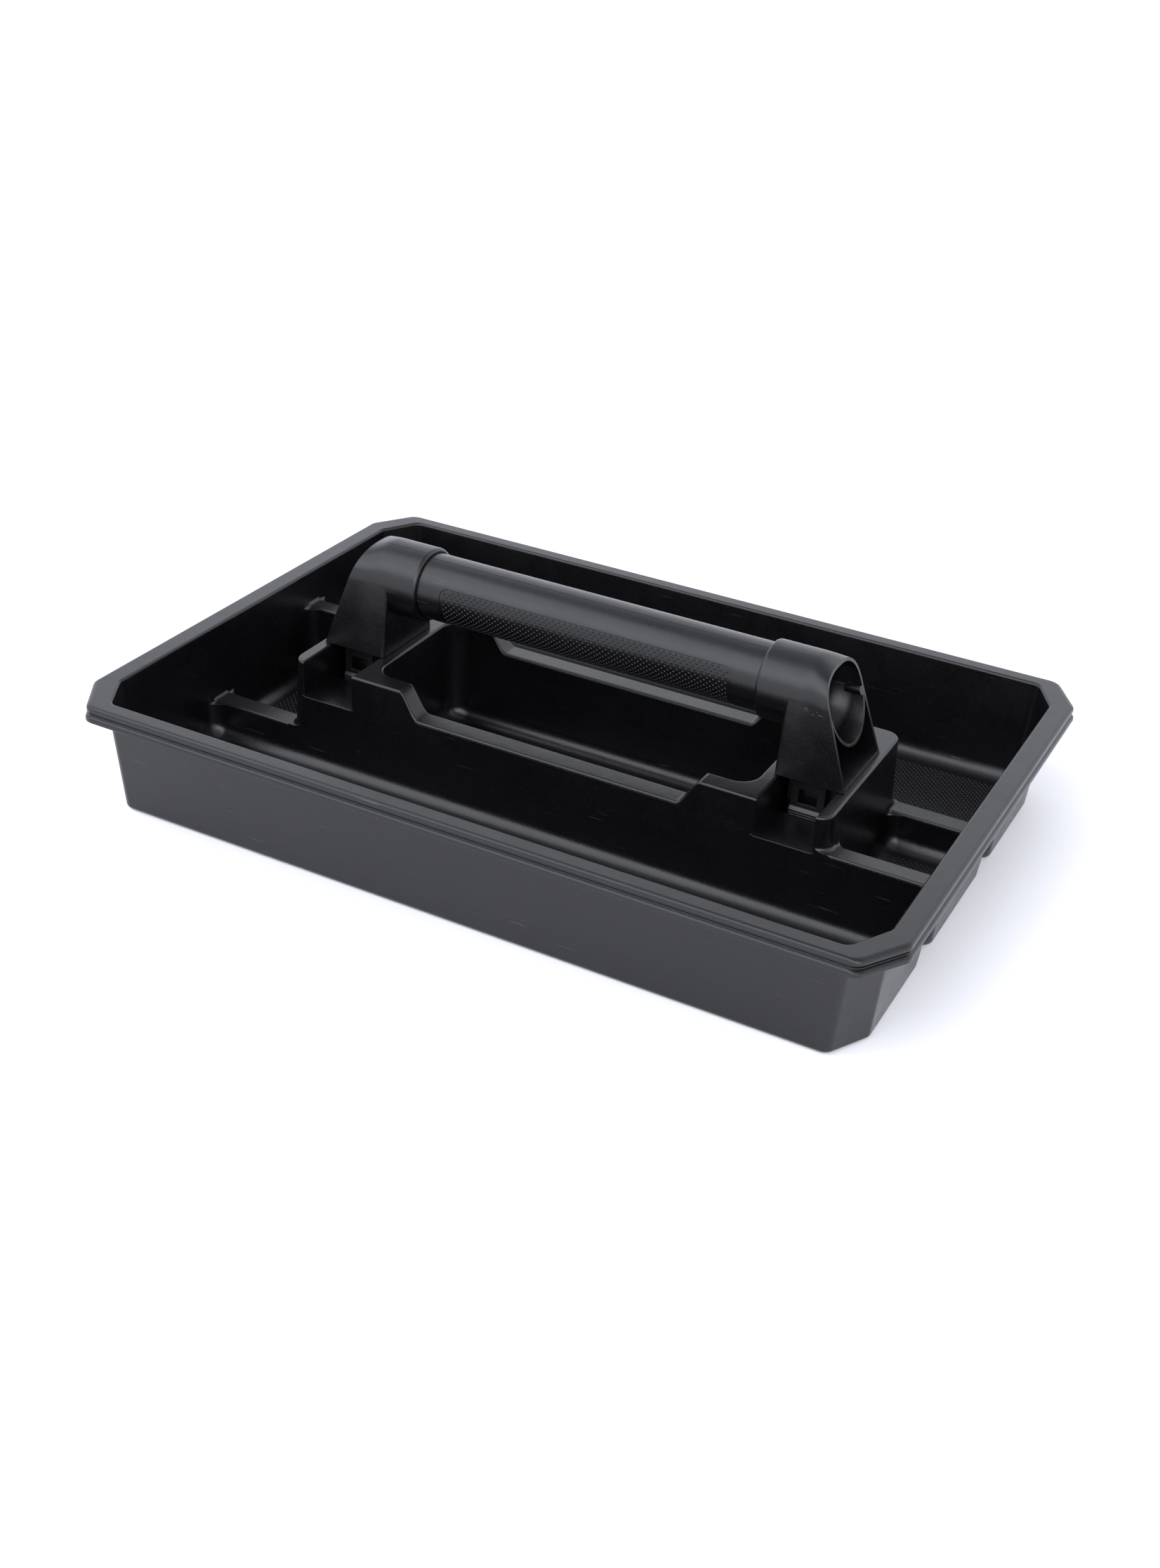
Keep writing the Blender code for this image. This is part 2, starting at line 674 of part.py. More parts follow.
def make_latch(name, sign, mat):
    """Spring tongue beside the plug, windowed, with a finger pad at its foot."""
    y0, y1 = LATCH_Y - LATCH_T / 2, LATCH_Y + LATCH_T / 2
    profile = [(-y0, LATCH_LOW), (-y0, LATCH_HIGH), (-y1, LATCH_HIGH), (-y1, 50.5),
               (-y1 - 1.6, 48.5), (-y1 - 1.6, 44.5), (-y1 - 0.8, LATCH_LOW)]
    half = LATCH_W / 2
    latch = prism(name, profile, 0, SLOT_MID - half, SLOT_MID + half)
    window = box("window", (SLOT_MID - 5.5, -y1 - 5, 53.0), (SLOT_MID + 5.5, -y0 + 5, 62.0))
    cut(latch, window)
    if sign < 0:
        latch.data.transform(Matrix.Diagonal((-1, 1, 1, 1)))
        latch.data.flip_normals()
    pivot = Vector((sign * SLOT_MID, -LATCH_Y, LATCH_PIVOT_Z)) * MM
    latch.data.transform(Matrix.Translation(-pivot))
    latch.location = pivot
    finish(latch, mat)
    return latch


def finish(obj, mat):
    """One material; round faces smooth, flat ones crisp."""
    bm = bmesh.new()
    bm.from_mesh(obj.data)
    bmesh.ops.remove_doubles(bm, verts=bm.verts, dist=0.00001)
    bmesh.ops.dissolve_degenerate(bm, dist=0.000005, edges=bm.edges)
    bmesh.ops.triangulate(bm, faces=[f for f in bm.faces if len(f.verts) > 4])
    bmesh.ops.recalc_face_normals(bm, faces=bm.faces)
    for face in bm.faces:
        face.smooth = True
    for edge in bm.edges:
        if len(edge.link_faces) == 2:
            edge.smooth = edge.calc_face_angle(0) < math.radians(30)
    bm.to_mesh(obj.data)
    bm.free()
    obj.data.materials.clear()
    obj.data.materials.append(mat)


def main():
    clear()
    make_tray(material("tray_plastic", 0.028, 0.5))
    make_tube(material("tube_plastic", 0.03, 0.45))
    sides = {"right": 1, "left": -1}
    for word, sign in sides.items():
        make_post("post_" + word, sign, material("post_plastic_" + word, 0.032, 0.48))
        make_latch("latch_" + word, sign, material("latch_plastic_" + word, 0.03, 0.45))


main()
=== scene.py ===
"""Carry tray with a tubular handle: the finished, detailed visual model.

Every piece is modelled in millimetres in the frame's own axes, then scaled to metres.
"""
import math

import bmesh
import bpy
import numpy as np
from mathutils import Matrix, Vector


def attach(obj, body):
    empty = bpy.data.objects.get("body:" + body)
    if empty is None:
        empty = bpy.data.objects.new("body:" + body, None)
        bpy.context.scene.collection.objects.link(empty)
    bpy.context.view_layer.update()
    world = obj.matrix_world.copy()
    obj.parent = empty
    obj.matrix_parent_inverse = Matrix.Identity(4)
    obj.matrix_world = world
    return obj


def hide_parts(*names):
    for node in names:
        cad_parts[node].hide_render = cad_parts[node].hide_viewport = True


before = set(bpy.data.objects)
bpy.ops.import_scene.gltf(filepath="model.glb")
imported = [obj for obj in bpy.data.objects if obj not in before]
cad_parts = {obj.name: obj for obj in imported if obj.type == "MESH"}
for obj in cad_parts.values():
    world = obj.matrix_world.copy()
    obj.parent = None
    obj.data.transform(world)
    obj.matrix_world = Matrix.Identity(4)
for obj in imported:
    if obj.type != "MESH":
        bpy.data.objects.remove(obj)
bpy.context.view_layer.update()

MM = 0.001

# Tray shell
HEIGHT = 70.0
BASE_X, BASE_Y = 233.6, 160.2
DRAFT_X, DRAFT_Y = 0.0783, 0.0597
WALL = 2.3
FLOOR = 2.5
FOOT_R = 3.0
BODY_TOP = 68.8
# Rim flange, skirt and lip
RIM_X, RIM_Y = 250.0, 173.0
RIM_CUT_X, RIM_CUT_Y = 17.0, 27.0
BODY_CUT_X, BODY_CUT_Y = 13.5, 24.0
SKIRT = 2.3
RIM_LOW = 59.8
LIP = 0.8
RIM_PLATE = 2.4
# Compartments
BLOCK_X, BLOCK_Y, BLOCK_TOP = 173.3, 57.6, 68.5
BLOCK_DRAFT = 0.03
BAY_Y = 46.5
WELL_X, WELL_Y, WELL_R = 122.4, 45.0, 13.0
FILLET = 9.0
EDGE_R = 1.6
TUB_R, RIM_R, BAY_R, TROUGH_R = 6.0, 8.0, 9.0, 7.0
ARC = 10
MOUTH = (0.0, 0.3, 0.55, 0.76, 0.9, 0.975, 1.0)
# Dip in the two long well walls
DIP_FRONT_Z, DIP_BACK_Z, DIP_X, DIP_TOP_X, DIP_LEAD = 52.0, 54.4, 85.5, 98.0, 2
# Ribs between the block and the end walls
RIB_HIGH, RIB_LOW = 48.0, 24.0
RIB_FLARE = 2.5
RIB_R = 1.4
CORNER_R = 9.0
NOTCH_R = 9.0
# Slots and sockets in the block ends
SLOT_IN, SLOT_OUT = 131.0, 165.0
SLOT_Z, SLOT_RAMP = 46.6, 0.7
SLOT_BEND_Y, SLOT_MOUTH_Y = 46.6, 58.25
SOCKET_Y, SOCKET_Z = 27.0, 32.0
HOLLOW_FOOT_Y, HOLLOW_TOP_Y = 56.4, 54.9
# Height clear above the tray, and place clear beyond the posts
ABOVE, BEYOND = 90.0, 185.0
# Handle
TUBE_Z, TUBE_R, TUBE_BORE, TUBE_HALF = 111.4, 20.0, 17.7, 138.0
SLEEVE_R, SLEEVE_BORE = 22.8, 20.3
COLLAR_X, POST_IN, POST_OUT = 109.3, 128.0, 169.9
POST_Y, POST_BASE, POST_LEAN = 27.5, 68.8, 0.35
POST_WALL, POST_FLOOR, POST_EDGE = 1.8, 2.0, 2.2
# Arch of the post: round at the collar, broader and squarer at the open end
ARCH_Y, ARCH_Z, ARCH_MID = 25.0, 21.2, 109.5
ARCH_POWER, ARCH_IN, ARCH_RUN, ARCH_STEPS = 2.7, 136.0, 16.0, 32
CRADLE_R, CRADLE_MID, CRADLE_WALL = 24.3, 110.3, 1.6
CRADLE_FROM, CRADLE_SWEEP = 6, 168
STOP_IN, STOP_Y, STOP_Z, STOP_R = 147.0, 21.4, 107.4, 2.6
PLUG_IN, PLUG_OUT, PLUG_Y, PLUG_Z = 134.0, 162.0, 17.5, 36.0
# Latch tongues
LATCH_W, LATCH_T, LATCH_Y = 20.0, 1.8, 22.8
LATCH_LOW, LATCH_HIGH = 43.5, 68.4
SLOT_MID = (SLOT_IN + SLOT_OUT) / 2
WINDOW_HALF, WINDOW_LOW, WINDOW_HIGH = 5.5, 53.0, 62.0
PAD_TOP, PAD_RIBS, PAD_PITCH, PAD_OUT = 50.5, 3, 1.5, 1.6
# Mould seams: half width, depth, and turn from the top of the tube towards the front
SEAM_W, SEAM_D, SEAM_TURN = 0.32, 0.5, 12.5
SEAM_END = 146.0
# Studded grip and studded compartment floors
GRIP_HALF, GRIP_START, GRIP_CORNER, GRIP_DEPTH = 94.0, 63.0, 5.0, 0.5
STUD_PITCH_X, STUD_PITCH_Y = 3.72, 3.5
FLOOR_PITCH = 3.62
STUD_R, STUD_H = 0.95, 0.42
STUD_EDGE = 1.3
GRIP_STUD_R = STUD_R * 0.9
# Reach of the pips from the tray's middle, in half pitches, and along the grip, in columns
REACH_X, REACH_Y, REACH_GRIP = 140, 100, 52
TUBE_SEGMENTS = 180
# Smoothness of corners, turned pieces and swept curves
CORNER_SEGMENTS, TURN_SEGMENTS, DIP_STEPS, FLARE_STEPS = 9, 144, 18, 20
STUD_SIDES, GRIP_STEPS, GRIP_SEGMENTS, BEAD_SEGMENTS = 8, 8, 130, 36
# Angles tried for where a post's plate meets its arch, in degrees
MEET_STEPS, MEET_STEP = 240, 0.25
# Angle in degrees above which an edge stays sharp
CREASE = 30
# Plastic: two near-black tones, pale scuffs, range of roughness
TONE_LOW, TONE_HIGH = (0.0014, 0.0014, 0.0018, 1), (0.0024, 0.0024, 0.0030, 1)
SCUFF_TONE = (0.16, 0.16, 0.165, 1)
MATT_LOW, MATT_HIGH = 0.27, 0.34
# Scratches: turn in degrees and stretch of each direction
STREAKS = ((18, 55.0), (-37, 70.0), (84, 60.0))
SCRATCH_SINK = 0.08
# Relief: size, strength and depth of the spark grain and of the orange peel
GRAIN_SIZE, GRAIN_STRENGTH, GRAIN_DEPTH = 1500.0, 0.55, 0.00006
PEEL_SIZE, PEEL_STRENGTH, PEEL_DEPTH = 120.0, 0.25, 0.0004
SOFT_EDGE = 0.0004
# Studio, in metres and watts
STAGE_SIZE, STAGE_DROP = 6.0, 0.0004
STAGE_GLOW, STAGE_GLOW_TINT = 0.05, (0.96, 0.97, 1.0, 1)
SKY_LOW, SKY_HIGH = 1.5, 0.7
SKY_FADE = (0.6, 0.95)
SKY_TINT = (0.93, 0.945, 1.03, 1)
# Softboxes: name, place, target, width, height, power
SOFTBOXES = (("softbox_front", (-0.85, -1.1, 1.7), (0.0, 0.0, 0.0), 2.4, 1.8, 25.0),
             ("softbox_side", (0.7, -1.2, 0.9), (0.2, -0.3, 0.0), 1.4, 1.0, 12.0))
# Camera: place, direction, roll in radians, lens in millimetres
CAM_AT, CAM_WAY = (0.4339, -0.8820, 0.5784), (-0.3848, 0.7746, -0.5020)
CAM_ROLL, CAM_LENS, CAM_SENSOR = 0.05729, 43.10, 36.0


def mesh_object(name, verts, faces):
    """Object from millimetre points, its faces turned outward."""
    mesh = bpy.data.meshes.new(name)
    mesh.from_pydata([Vector(v) * MM for v in verts], [], faces)
    bm = bmesh.new()
    bm.from_mesh(mesh)
    bmesh.ops.recalc_face_normals(bm, faces=bm.faces)
    bm.to_mesh(mesh)
    bm.free()
    obj = bpy.data.objects.new(name, mesh)
    bpy.context.scene.collection.objects.link(obj)
    return obj


def loft(name, rings):
    """Closed solid through rings of equal length, flat caps at both ends."""
    n = len(rings[0])
    verts = [v for ring in rings for v in ring]
    faces = [list(range(n))[::-1]]
    for k in range(len(rings) - 1):
        for i in range(n):
            j = (i + 1) % n
            faces.append([k * n + i, k * n + j, (k + 1) * n + j, (k + 1) * n + i])
    faces.append([(len(rings) - 1) * n + i for i in range(n)])
    return mesh_object(name, verts, faces)


def prism(name, outline, axis, low, high):
    """Outline pairs swept along axis 0, 1 or 2 from low to high."""
    rings = []
    for value in (low, high):
        ring = []
        for a, b in outline:
            point = [a, b]
            point.insert(axis, value)
            ring.append(point)
        rings.append(ring)
    return loft(name, rings)


def box(name, low, high):
    """Cuboid between two opposite corners."""
    outline = [(low[0], low[1]), (high[0], low[1]), (high[0], high[1]), (low[0], high[1])]
    return prism(name, outline, 2, low[2], high[2])


def rod(name, radius, low, high, segments=TURN_SEGMENTS):
    """Cylinder along X on the handle's axis."""
    outline = []
    for k in range(segments):
        a = 2 * math.pi * k / segments
        outline.append((radius * math.cos(a), TUBE_Z + radius * math.sin(a)))
    return prism(name, outline, 0, low, high)


def cut(target, cutter, operation="DIFFERENCE"):
    """Applies one exact Boolean and removes the cutter."""
    cutter.hide_render = True
    cutter.display_type = "WIRE"
    mod = target.modifiers.new("cut", "BOOLEAN")
    mod.operation = operation
    mod.solver = "EXACT"
    mod.object = cutter
    bpy.context.view_layer.update()
    graph = bpy.context.evaluated_depsgraph_get()
    mesh = bpy.data.meshes.new_from_object(target.evaluated_get(graph))
    old = target.data
    target.modifiers.clear()
    target.data = mesh
    bpy.data.meshes.remove(old)
    bpy.data.objects.remove(cutter, do_unlink=True)


def corner(e0, e1):
    """Crossing point of the lines n.p = c of two edges."""
    (a, b, c), (d, e, f) = e0, e1
    det = a * e - b * d
    return ((c * e - b * f) / det, (a * f - c * d) / det)


def rounded(edges, radius):
    """Outline of a convex polygon given by edges (nx, ny, c), corners rounded."""
    points = []
    count = len(edges)
    for i in range(count):
        e0, e1 = edges[i], edges[(i + 1) % count]
        r = radius[i] if isinstance(radius, (list, tuple)) else radius
        a0, a1 = math.atan2(e0[1], e0[0]), math.atan2(e1[1], e1[0])
        if a1 < a0:
            a1 += 2 * math.pi
        cx, cy = corner((e0[0], e0[1], e0[2] - r), (e1[0], e1[1], e1[2] - r))
        for k in range(CORNER_SEGMENTS + 1):
            a = a0 + (a1 - a0) * k / CORNER_SEGMENTS
            points.append((cx + r * math.cos(a), cy + r * math.sin(a)))
    return points


def octagon(hx, hy, cx, cy):
    """Edges of a rectangle with its four corners cut off, counter-clockwise."""
    size = math.hypot(cx, cy)
    nx, ny = cy / size, cx / size
    c = nx * hx + ny * (hy - cy)
    return [(1, 0, hx), (nx, ny, c), (0, 1, hy), (-nx, ny, c),
            (-1, 0, hx), (-nx, -ny, c), (0, -1, hy), (nx, -ny, c)]


def body_ring(z, inset):
    """Outline of the tub's outside at height z, drawn in by inset."""
    hx = BASE_X + DRAFT_X * z - inset
    hy = BASE_Y + DRAFT_Y * z - inset
    ring = rounded(octagon(hx, hy, BODY_CUT_X, BODY_CUT_Y), TUB_R)
    return [(x, y, z) for x, y in ring]


def body():
    """Outer hull of the tub, with a rounded foot."""
    rings = []
    for k in range(ARC + 1):
        a = math.pi / 2 * k / ARC
        rings.append(body_ring(FOOT_R * (1 - math.cos(a)), FOOT_R * (1 - math.sin(a))))
    rings.append(body_ring(BODY_TOP, 0))
    return loft("tray", rings)


def rim_ring(z, out):
    """Outline of the rim at height z, grown by out."""
    edges = octagon(RIM_X + out, RIM_Y + out, RIM_CUT_X, RIM_CUT_Y)
    return [(x, y, z) for x, y in rounded(edges, RIM_R)]


def rim():
    """Flange with its skirt, groove and out-turned lip; open from below."""
    profile = [(RIM_LOW, LIP - 0.8), (RIM_LOW + 0.6, LIP - 0.1), (RIM_LOW + 1.5, LIP),
               (RIM_LOW + 2.8, LIP - 0.2), (RIM_LOW + 3.6, LIP - 0.8), (RIM_LOW + 4.1, -0.9),
               (RIM_LOW + 4.7, -0.9), (RIM_LOW + 5.0, -0.4), (RIM_LOW + 5.4, -0.4),
               (RIM_LOW + 5.7, -1.0), (RIM_LOW + 6.4, -1.0), (RIM_LOW + 6.8, 0.0),
               (68.2, 0.0), (69.1, -0.4), (69.7, -1.2), (HEIGHT, -2.4)]
    solid = loft("rim", [rim_ring(z, out) for z, out in profile])
    channel = [rim_ring(z, -SKIRT) for z in (RIM_LOW - 6, HEIGHT - RIM_PLATE)]
    cut(solid, loft("channel", channel))
    return solid


def quarter(z, top, r):
    """How far a rounded mouth of radius r has opened at height z."""
    t = min(max((z - top + r) / r, 0.0), 1.0)
    return r * (1 - math.sqrt(1 - t * t))


def void(name, edges, radius):
    """Compartment cutter: rounded outline, filleted foot, rounded mouth.

    Each edge is (nx, ny, c at the rim, draft, height of its wall).
    """
    heights = []
    for k in range(ARC + 1):
        a = math.pi / 2 * k / ARC
        heights.append((FLOOR + FILLET * (1 - math.cos(a)), FILLET * (1 - math.sin(a))))
    tops = sorted({edge[4] for edge in edges})
    zs = sorted({round(top - EDGE_R * (1 - share), 4) for top in tops for share in MOUTH})
    heights += [(z, 0.0) for z in zs] + [(HEIGHT + 6, 0.0)]
    rings = []
    for z, inset in heights:
        drop = HEIGHT - min(z, HEIGHT)
        now = []
        for nx, ny, c, draft, top in edges:
            now.append((nx, ny, c - draft * drop - inset + quarter(z, top, EDGE_R)))
        shrink = [max(0.4, r - 0.85 * inset) for r in radius]
        rings.append([(x, y, z) for x, y in rounded(now, shrink)])
    return loft(name, rings)


def inner_top():
    """Half size of the tub's inside at rim height."""
    return (BASE_X + DRAFT_X * HEIGHT - WALL, BASE_Y + DRAFT_Y * HEIGHT - WALL)


def half_turned(edges, sign):
    """The same edges, turned by half a turn where sign is negative."""
    return [(sign * nx, sign * ny, c, draft, top) for nx, ny, c, draft, top in edges]


def trough_edges(sign):
    """Edges of the long compartment behind the block, or in front of it."""
    hx, hy = inner_top()
    full = octagon(hx, hy, BODY_CUT_X, BODY_CUT_Y)
    edges = [(nx, ny, c, DRAFT_X, HEIGHT) for nx, ny, c in full[:5]]
    return half_turned(edges + [(0, -1, -BLOCK_Y, BLOCK_DRAFT, BLOCK_TOP)], sign)


def bay_edges(sign):
    """Edges of the square compartment between the block and one end wall."""
    hx, _ = inner_top()
    edges = [(1, 0, hx, DRAFT_X, HEIGHT), (0, 1, BAY_Y, BLOCK_DRAFT, HEIGHT),
             (-1, 0, -BLOCK_X, BLOCK_DRAFT, BLOCK_TOP), (0, -1, BAY_Y, BLOCK_DRAFT, HEIGHT)]
    return half_turned(edges, sign)


def trough(name, sign):
    """Cutter for one long compartment."""
    return void(name, trough_edges(sign), [TROUGH_R] * 4 + [CORNER_R] * 2)


def bay(name, sign):
    """Cutter for one square compartment."""
    return void(name, bay_edges(sign), [BAY_R] * 4)


def well():
    """Cutter for the rectangular compartment in the middle of the block."""
    edges = [(1, 0, WELL_X, BLOCK_DRAFT, BLOCK_TOP), (0, 1, WELL_Y, BLOCK_DRAFT, BLOCK_TOP),
             (-1, 0, WELL_X, BLOCK_DRAFT, BLOCK_TOP), (0, -1, WELL_Y, BLOCK_DRAFT, BLOCK_TOP)]
    return void("well", edges, [WELL_R] * 4)


def arc(cx, cy, r, start, end, count=ARC):
    """Points of a circular arc, angles in degrees."""
    points = []
    for k in range(count + 1):
        a = math.radians(start + (end - start) * k / count)
        points.append((cx + r * math.cos(a), cy + r * math.sin(a)))
    return points


def eased_sweep(name, outline, low, high, radius):
    """Cutter along Y over a wall whose faces lie at low and high.

    The outline sinks by radius at both faces, which rounds the wall's two top edges.
    """
    steps = [(low - 9.0, 1.0)]
    for k in range(ARC + 1):
        t = 1 - k / ARC
        turn = math.pi / 2 * t
        steps.append((low + radius * (1 - math.sin(turn)), 1 - math.cos(turn)))
    steps += [(low + high - y, share) for y, share in reversed(steps)]
    rings = []
    for y, share in steps:
        ring = sunk(outline, radius * share)
        rings.append([(x, y, z) for x, z in ring])
    return loft(name, rings)


def sunk(outline, depth):
    """Outline (x, z) moved outward by depth, except its far top edge."""
    count = len(outline)
    area = 0.0
    for i in range(count):
        (x0, z0), (x1, z1) = outline[i], outline[(i + 1) % count]
        area += x0 * z1 - x1 * z0
    turn_sign = 1 if area > 0 else -1
    moved = []
    for i in range(count):
        x, z = outline[i]
        if z > HEIGHT + 10:
            moved.append((x, z))
            continue
        (xa, za), (xb, zb) = outline[i - 1], outline[(i + 1) % count]
        nx, nz = zb - za, xa - xb
        size = math.hypot(nx, nz)
        moved.append((x + turn_sign * nx / size * depth, z + turn_sign * nz / size * depth))
    return moved


def rib_gap(sx, sy, top):
    """Clears the space above one rib, flared where it meets both walls."""
    hx, _ = inner_top()
    r = RIB_FLARE
    outline = []
    for x, z in arc(r, top + r, r, 180, 270):
        outline.append((BLOCK_X + BLOCK_DRAFT * (HEIGHT - z) + x, z))
    for x, z in arc(-r, top + r, r, 270, 360):
        outline.append((hx - DRAFT_X * (HEIGHT - z) + x, z))
    outline += [(hx - DRAFT_X * EDGE_R, HEIGHT - EDGE_R)]
    for share in MOUTH[1:]:
        z = HEIGHT - EDGE_R * (1 - share)
        outline.append((hx - DRAFT_X * (HEIGHT - z) + quarter(z, HEIGHT, EDGE_R), z))
    outline += [(hx + EDGE_R, ABOVE), (BLOCK_X - EDGE_R, ABOVE)]
    for share in reversed(MOUTH):
        z = BLOCK_TOP - EDGE_R * (1 - share)
        outline.append((BLOCK_X + BLOCK_DRAFT * (HEIGHT - z) - quarter(z, BLOCK_TOP, EDGE_R), z))
    lean = BLOCK_DRAFT * (HEIGHT - top)
    low, high = BAY_Y - lean, BLOCK_Y + lean
    solid = eased_rib("gap", outline, top, low, high)
    solid.data.transform(Matrix.Diagonal((sx, sy, 1, 1)))
    if sx * sy < 0:
        solid.data.flip_normals()
    return solid


def eased_rib(name, outline, top, low, high):
    """Like eased_sweep, but only the floor of the outline sinks."""
    steps = [(low - 11.0, RIB_R)]
    for k in range(ARC + 1):
        t = math.pi / 2 * (1 - k / ARC)
        steps.append((low + RIB_R * (1 - math.sin(t)), RIB_R * (1 - math.cos(t))))
    steps += [(low + high - y, drop) for y, drop in reversed(steps)]
    rings = []
    for y, drop in steps:
        ring = []
        for x, z in outline:
            share = min(max(1 - (z - top) / RIB_FLARE, 0.0), 1.0)
            ring.append((x, y, z - drop * share))
        rings.append(ring)
    return loft(name, rings)


def outside_corner(sx, sy, levels):
    """Upright solid that fills the outside of the block's rounded corner.

    Each level is (z, growth of the corner's radius).
    """
    out = RIB_FLARE + 2.0
    rings = []
    for z, grow in levels:
        lean = BLOCK_DRAFT * (HEIGHT - min(z, HEIGHT))
        cx, cy = BLOCK_X + lean - CORNER_R, BLOCK_Y + lean - CORNER_R
        ring = arc(cx, cy, CORNER_R + grow, 0, 90, 12)
        ring += [(cx, BLOCK_Y + out), (BLOCK_X + out, BLOCK_Y + out), (BLOCK_X + out, cy)]
        rings.append([(sx * x, sy * y, z) for x, y in ring])
    return loft("corner", rings)


def block_corner(sx, sy, low):
    """Rounds one upright corner of the block above its rib, flared at the foot."""
    levels = []
    for k in range(ARC + 1):
        a = math.pi / 2 * k / ARC
        levels.append((low + RIB_FLARE * (1 - math.cos(a)), RIB_FLARE * (1 - math.sin(a))))
    for share in MOUTH:
        z = BLOCK_TOP - EDGE_R * (1 - share)
        levels.append((z, -quarter(z, BLOCK_TOP, EDGE_R)))
    return outside_corner(sx, sy, levels + [(ABOVE, -EDGE_R)])


def dip_outline(low, top, grow):
    """Right half of the dip's XZ outline: flat middle, S-shaped shoulder."""
    half = []
    for k in range(DIP_STEPS + 1):
        t = k / DIP_STEPS
        s = t * t * (3 - 2 * t)
        half.append((DIP_X - DIP_LEAD - grow + (DIP_TOP_X - DIP_X + DIP_LEAD) * t, low + (top - low) * s))
    return half


def dip_low(sign):
    """Height of the dip's floor; the back one is a little shallower."""
    return DIP_BACK_Z if sign > 0 else DIP_FRONT_Z


def dip(sign):
    """Cutter for the dip in one long wall of the well."""
    half = dip_outline(dip_low(sign), BLOCK_TOP + 0.01, 0.0)
    right = half + [(DIP_TOP_X, HEIGHT + 20)]
    outline = right + [(-x, z) for x, z in reversed(right)]
    lean = BLOCK_DRAFT * (HEIGHT - dip_low(sign))
    low, high = WELL_Y - lean, BLOCK_Y + lean
    if sign < 0:
        low, high = -high, -low
    return eased_sweep("dip", outline, low, high, EDGE_R)


def block_top():
    """Lowers the block's top just below the rim."""
    hx, hy = BLOCK_X + 4, BLOCK_Y + 4
    return box("top", (-hx, -hy, BLOCK_TOP), (hx, hy, ABOVE))


def slot(sign):
    """Socket for the plug, and the finger slot in front of it that opens forward."""
    edge = SLOT_Z - SLOT_RAMP
    outline = [(SOCKET_Y, SOCKET_Z), (SOCKET_Y, ABOVE), (-62.0, ABOVE), (-62.0, edge - 0.9),
               (-58.5, edge - 0.9), (-58.1, edge - 0.25), (-57.5, edge), (-SLOT_BEND_Y, SLOT_Z),
               (-SOCKET_Y, SLOT_Z), (-SOCKET_Y, SOCKET_Z)]
    low, high = sorted((sign * SLOT_IN, sign * SLOT_OUT))
    return prism("slot", outline, 0, low, high)


def slot_edges(sign):
    """Two cutters that round the slot's long top edges and its upright end edges."""
    r = EDGE_R
    top = [(SLOT_IN, 60.0)]
    end = [(SLOT_IN, 56.0)]
    for share in MOUTH:
        z, y = BLOCK_TOP - r * (1 - share), SLOT_MOUTH_Y - r * (1 - share)
        top.append((SLOT_IN - quarter(z, BLOCK_TOP, r), z))
        end.append((SLOT_IN - quarter(y, SLOT_MOUTH_Y, r), y))
    top.append((SLOT_IN - r, ABOVE))
    end.append((SLOT_IN - r, 64.0))
    cutters = []
    kinds = (("slottop", top, 1, 1, -64.0, 20.0),
             ("slotend", end, -1, 2, SLOT_Z - SLOT_RAMP + 0.3, 91.0))
    for name, half, side, axis, low, high in kinds:
        full = half + [(SLOT_IN + SLOT_OUT - x, v) for x, v in reversed(half)]
        outline = [(sign * x, side * v) for x, v in full]
        cutters.append(prism(name, outline, axis, low, high))
    return cutters


def end_hollow(sign):
    """Hollow under one block end: stepped ceiling plus the two cheeks."""
    y1, y2 = 57.3, 55.3
    step = SOCKET_Y + WALL
    outline = [(-y1, -5.0), (-y2, SLOT_Z - SLOT_RAMP - WALL), (-SLOT_BEND_Y, SLOT_Z - WALL),
               (-step, SLOT_Z - WALL), (-step, SOCKET_Z - WALL), (step, SOCKET_Z - WALL),
               (step, BLOCK_TOP - WALL), (HOLLOW_TOP_Y, BLOCK_TOP - WALL), (HOLLOW_FOOT_Y, -5.0)]
    low, high = sorted((sign * (WELL_X + WALL), sign * (BLOCK_X - WALL)))
    solid = prism("hollow", outline, 0, low, high)
    for a, b in ((WELL_X + WALL, SLOT_IN - WALL), (SLOT_OUT + WALL, BLOCK_X - WALL)):
        x0, x1 = sorted((sign * a, sign * b))
        cheek = [(-HOLLOW_FOOT_Y, -6.0), (-HOLLOW_TOP_Y, BLOCK_TOP - WALL),
                 (HOLLOW_TOP_Y, BLOCK_TOP - WALL), (HOLLOW_FOOT_Y, -6.0)]
        cut(solid, prism("cheek", cheek, 0, x0, x1), "UNION")
    for sy in (1, -1):
        low = (RIB_HIGH if sign * sy < 0 else RIB_LOW) - WALL - 1.0
        cut(solid, outside_corner(sign, sy, [(low, -WALL), (92.0, -WALL)]))
    return solid


def wall_hollow(sign):
    """Hollow inside one long wall of the well."""
    top = BLOCK_TOP - WALL
    half = dip_outline(dip_low(sign) - WALL, top, -2.0)
    right = half + [(WELL_X + 3.4, top), (WELL_X + 3.4, -7.0)]
    outline = right + [(-x, z) for x, z in reversed(right)]
    low, high = sorted((sign * (WELL_Y + WALL), sign * (BLOCK_Y - WALL)))
    return prism("wallhollow", outline, 1, low, high)


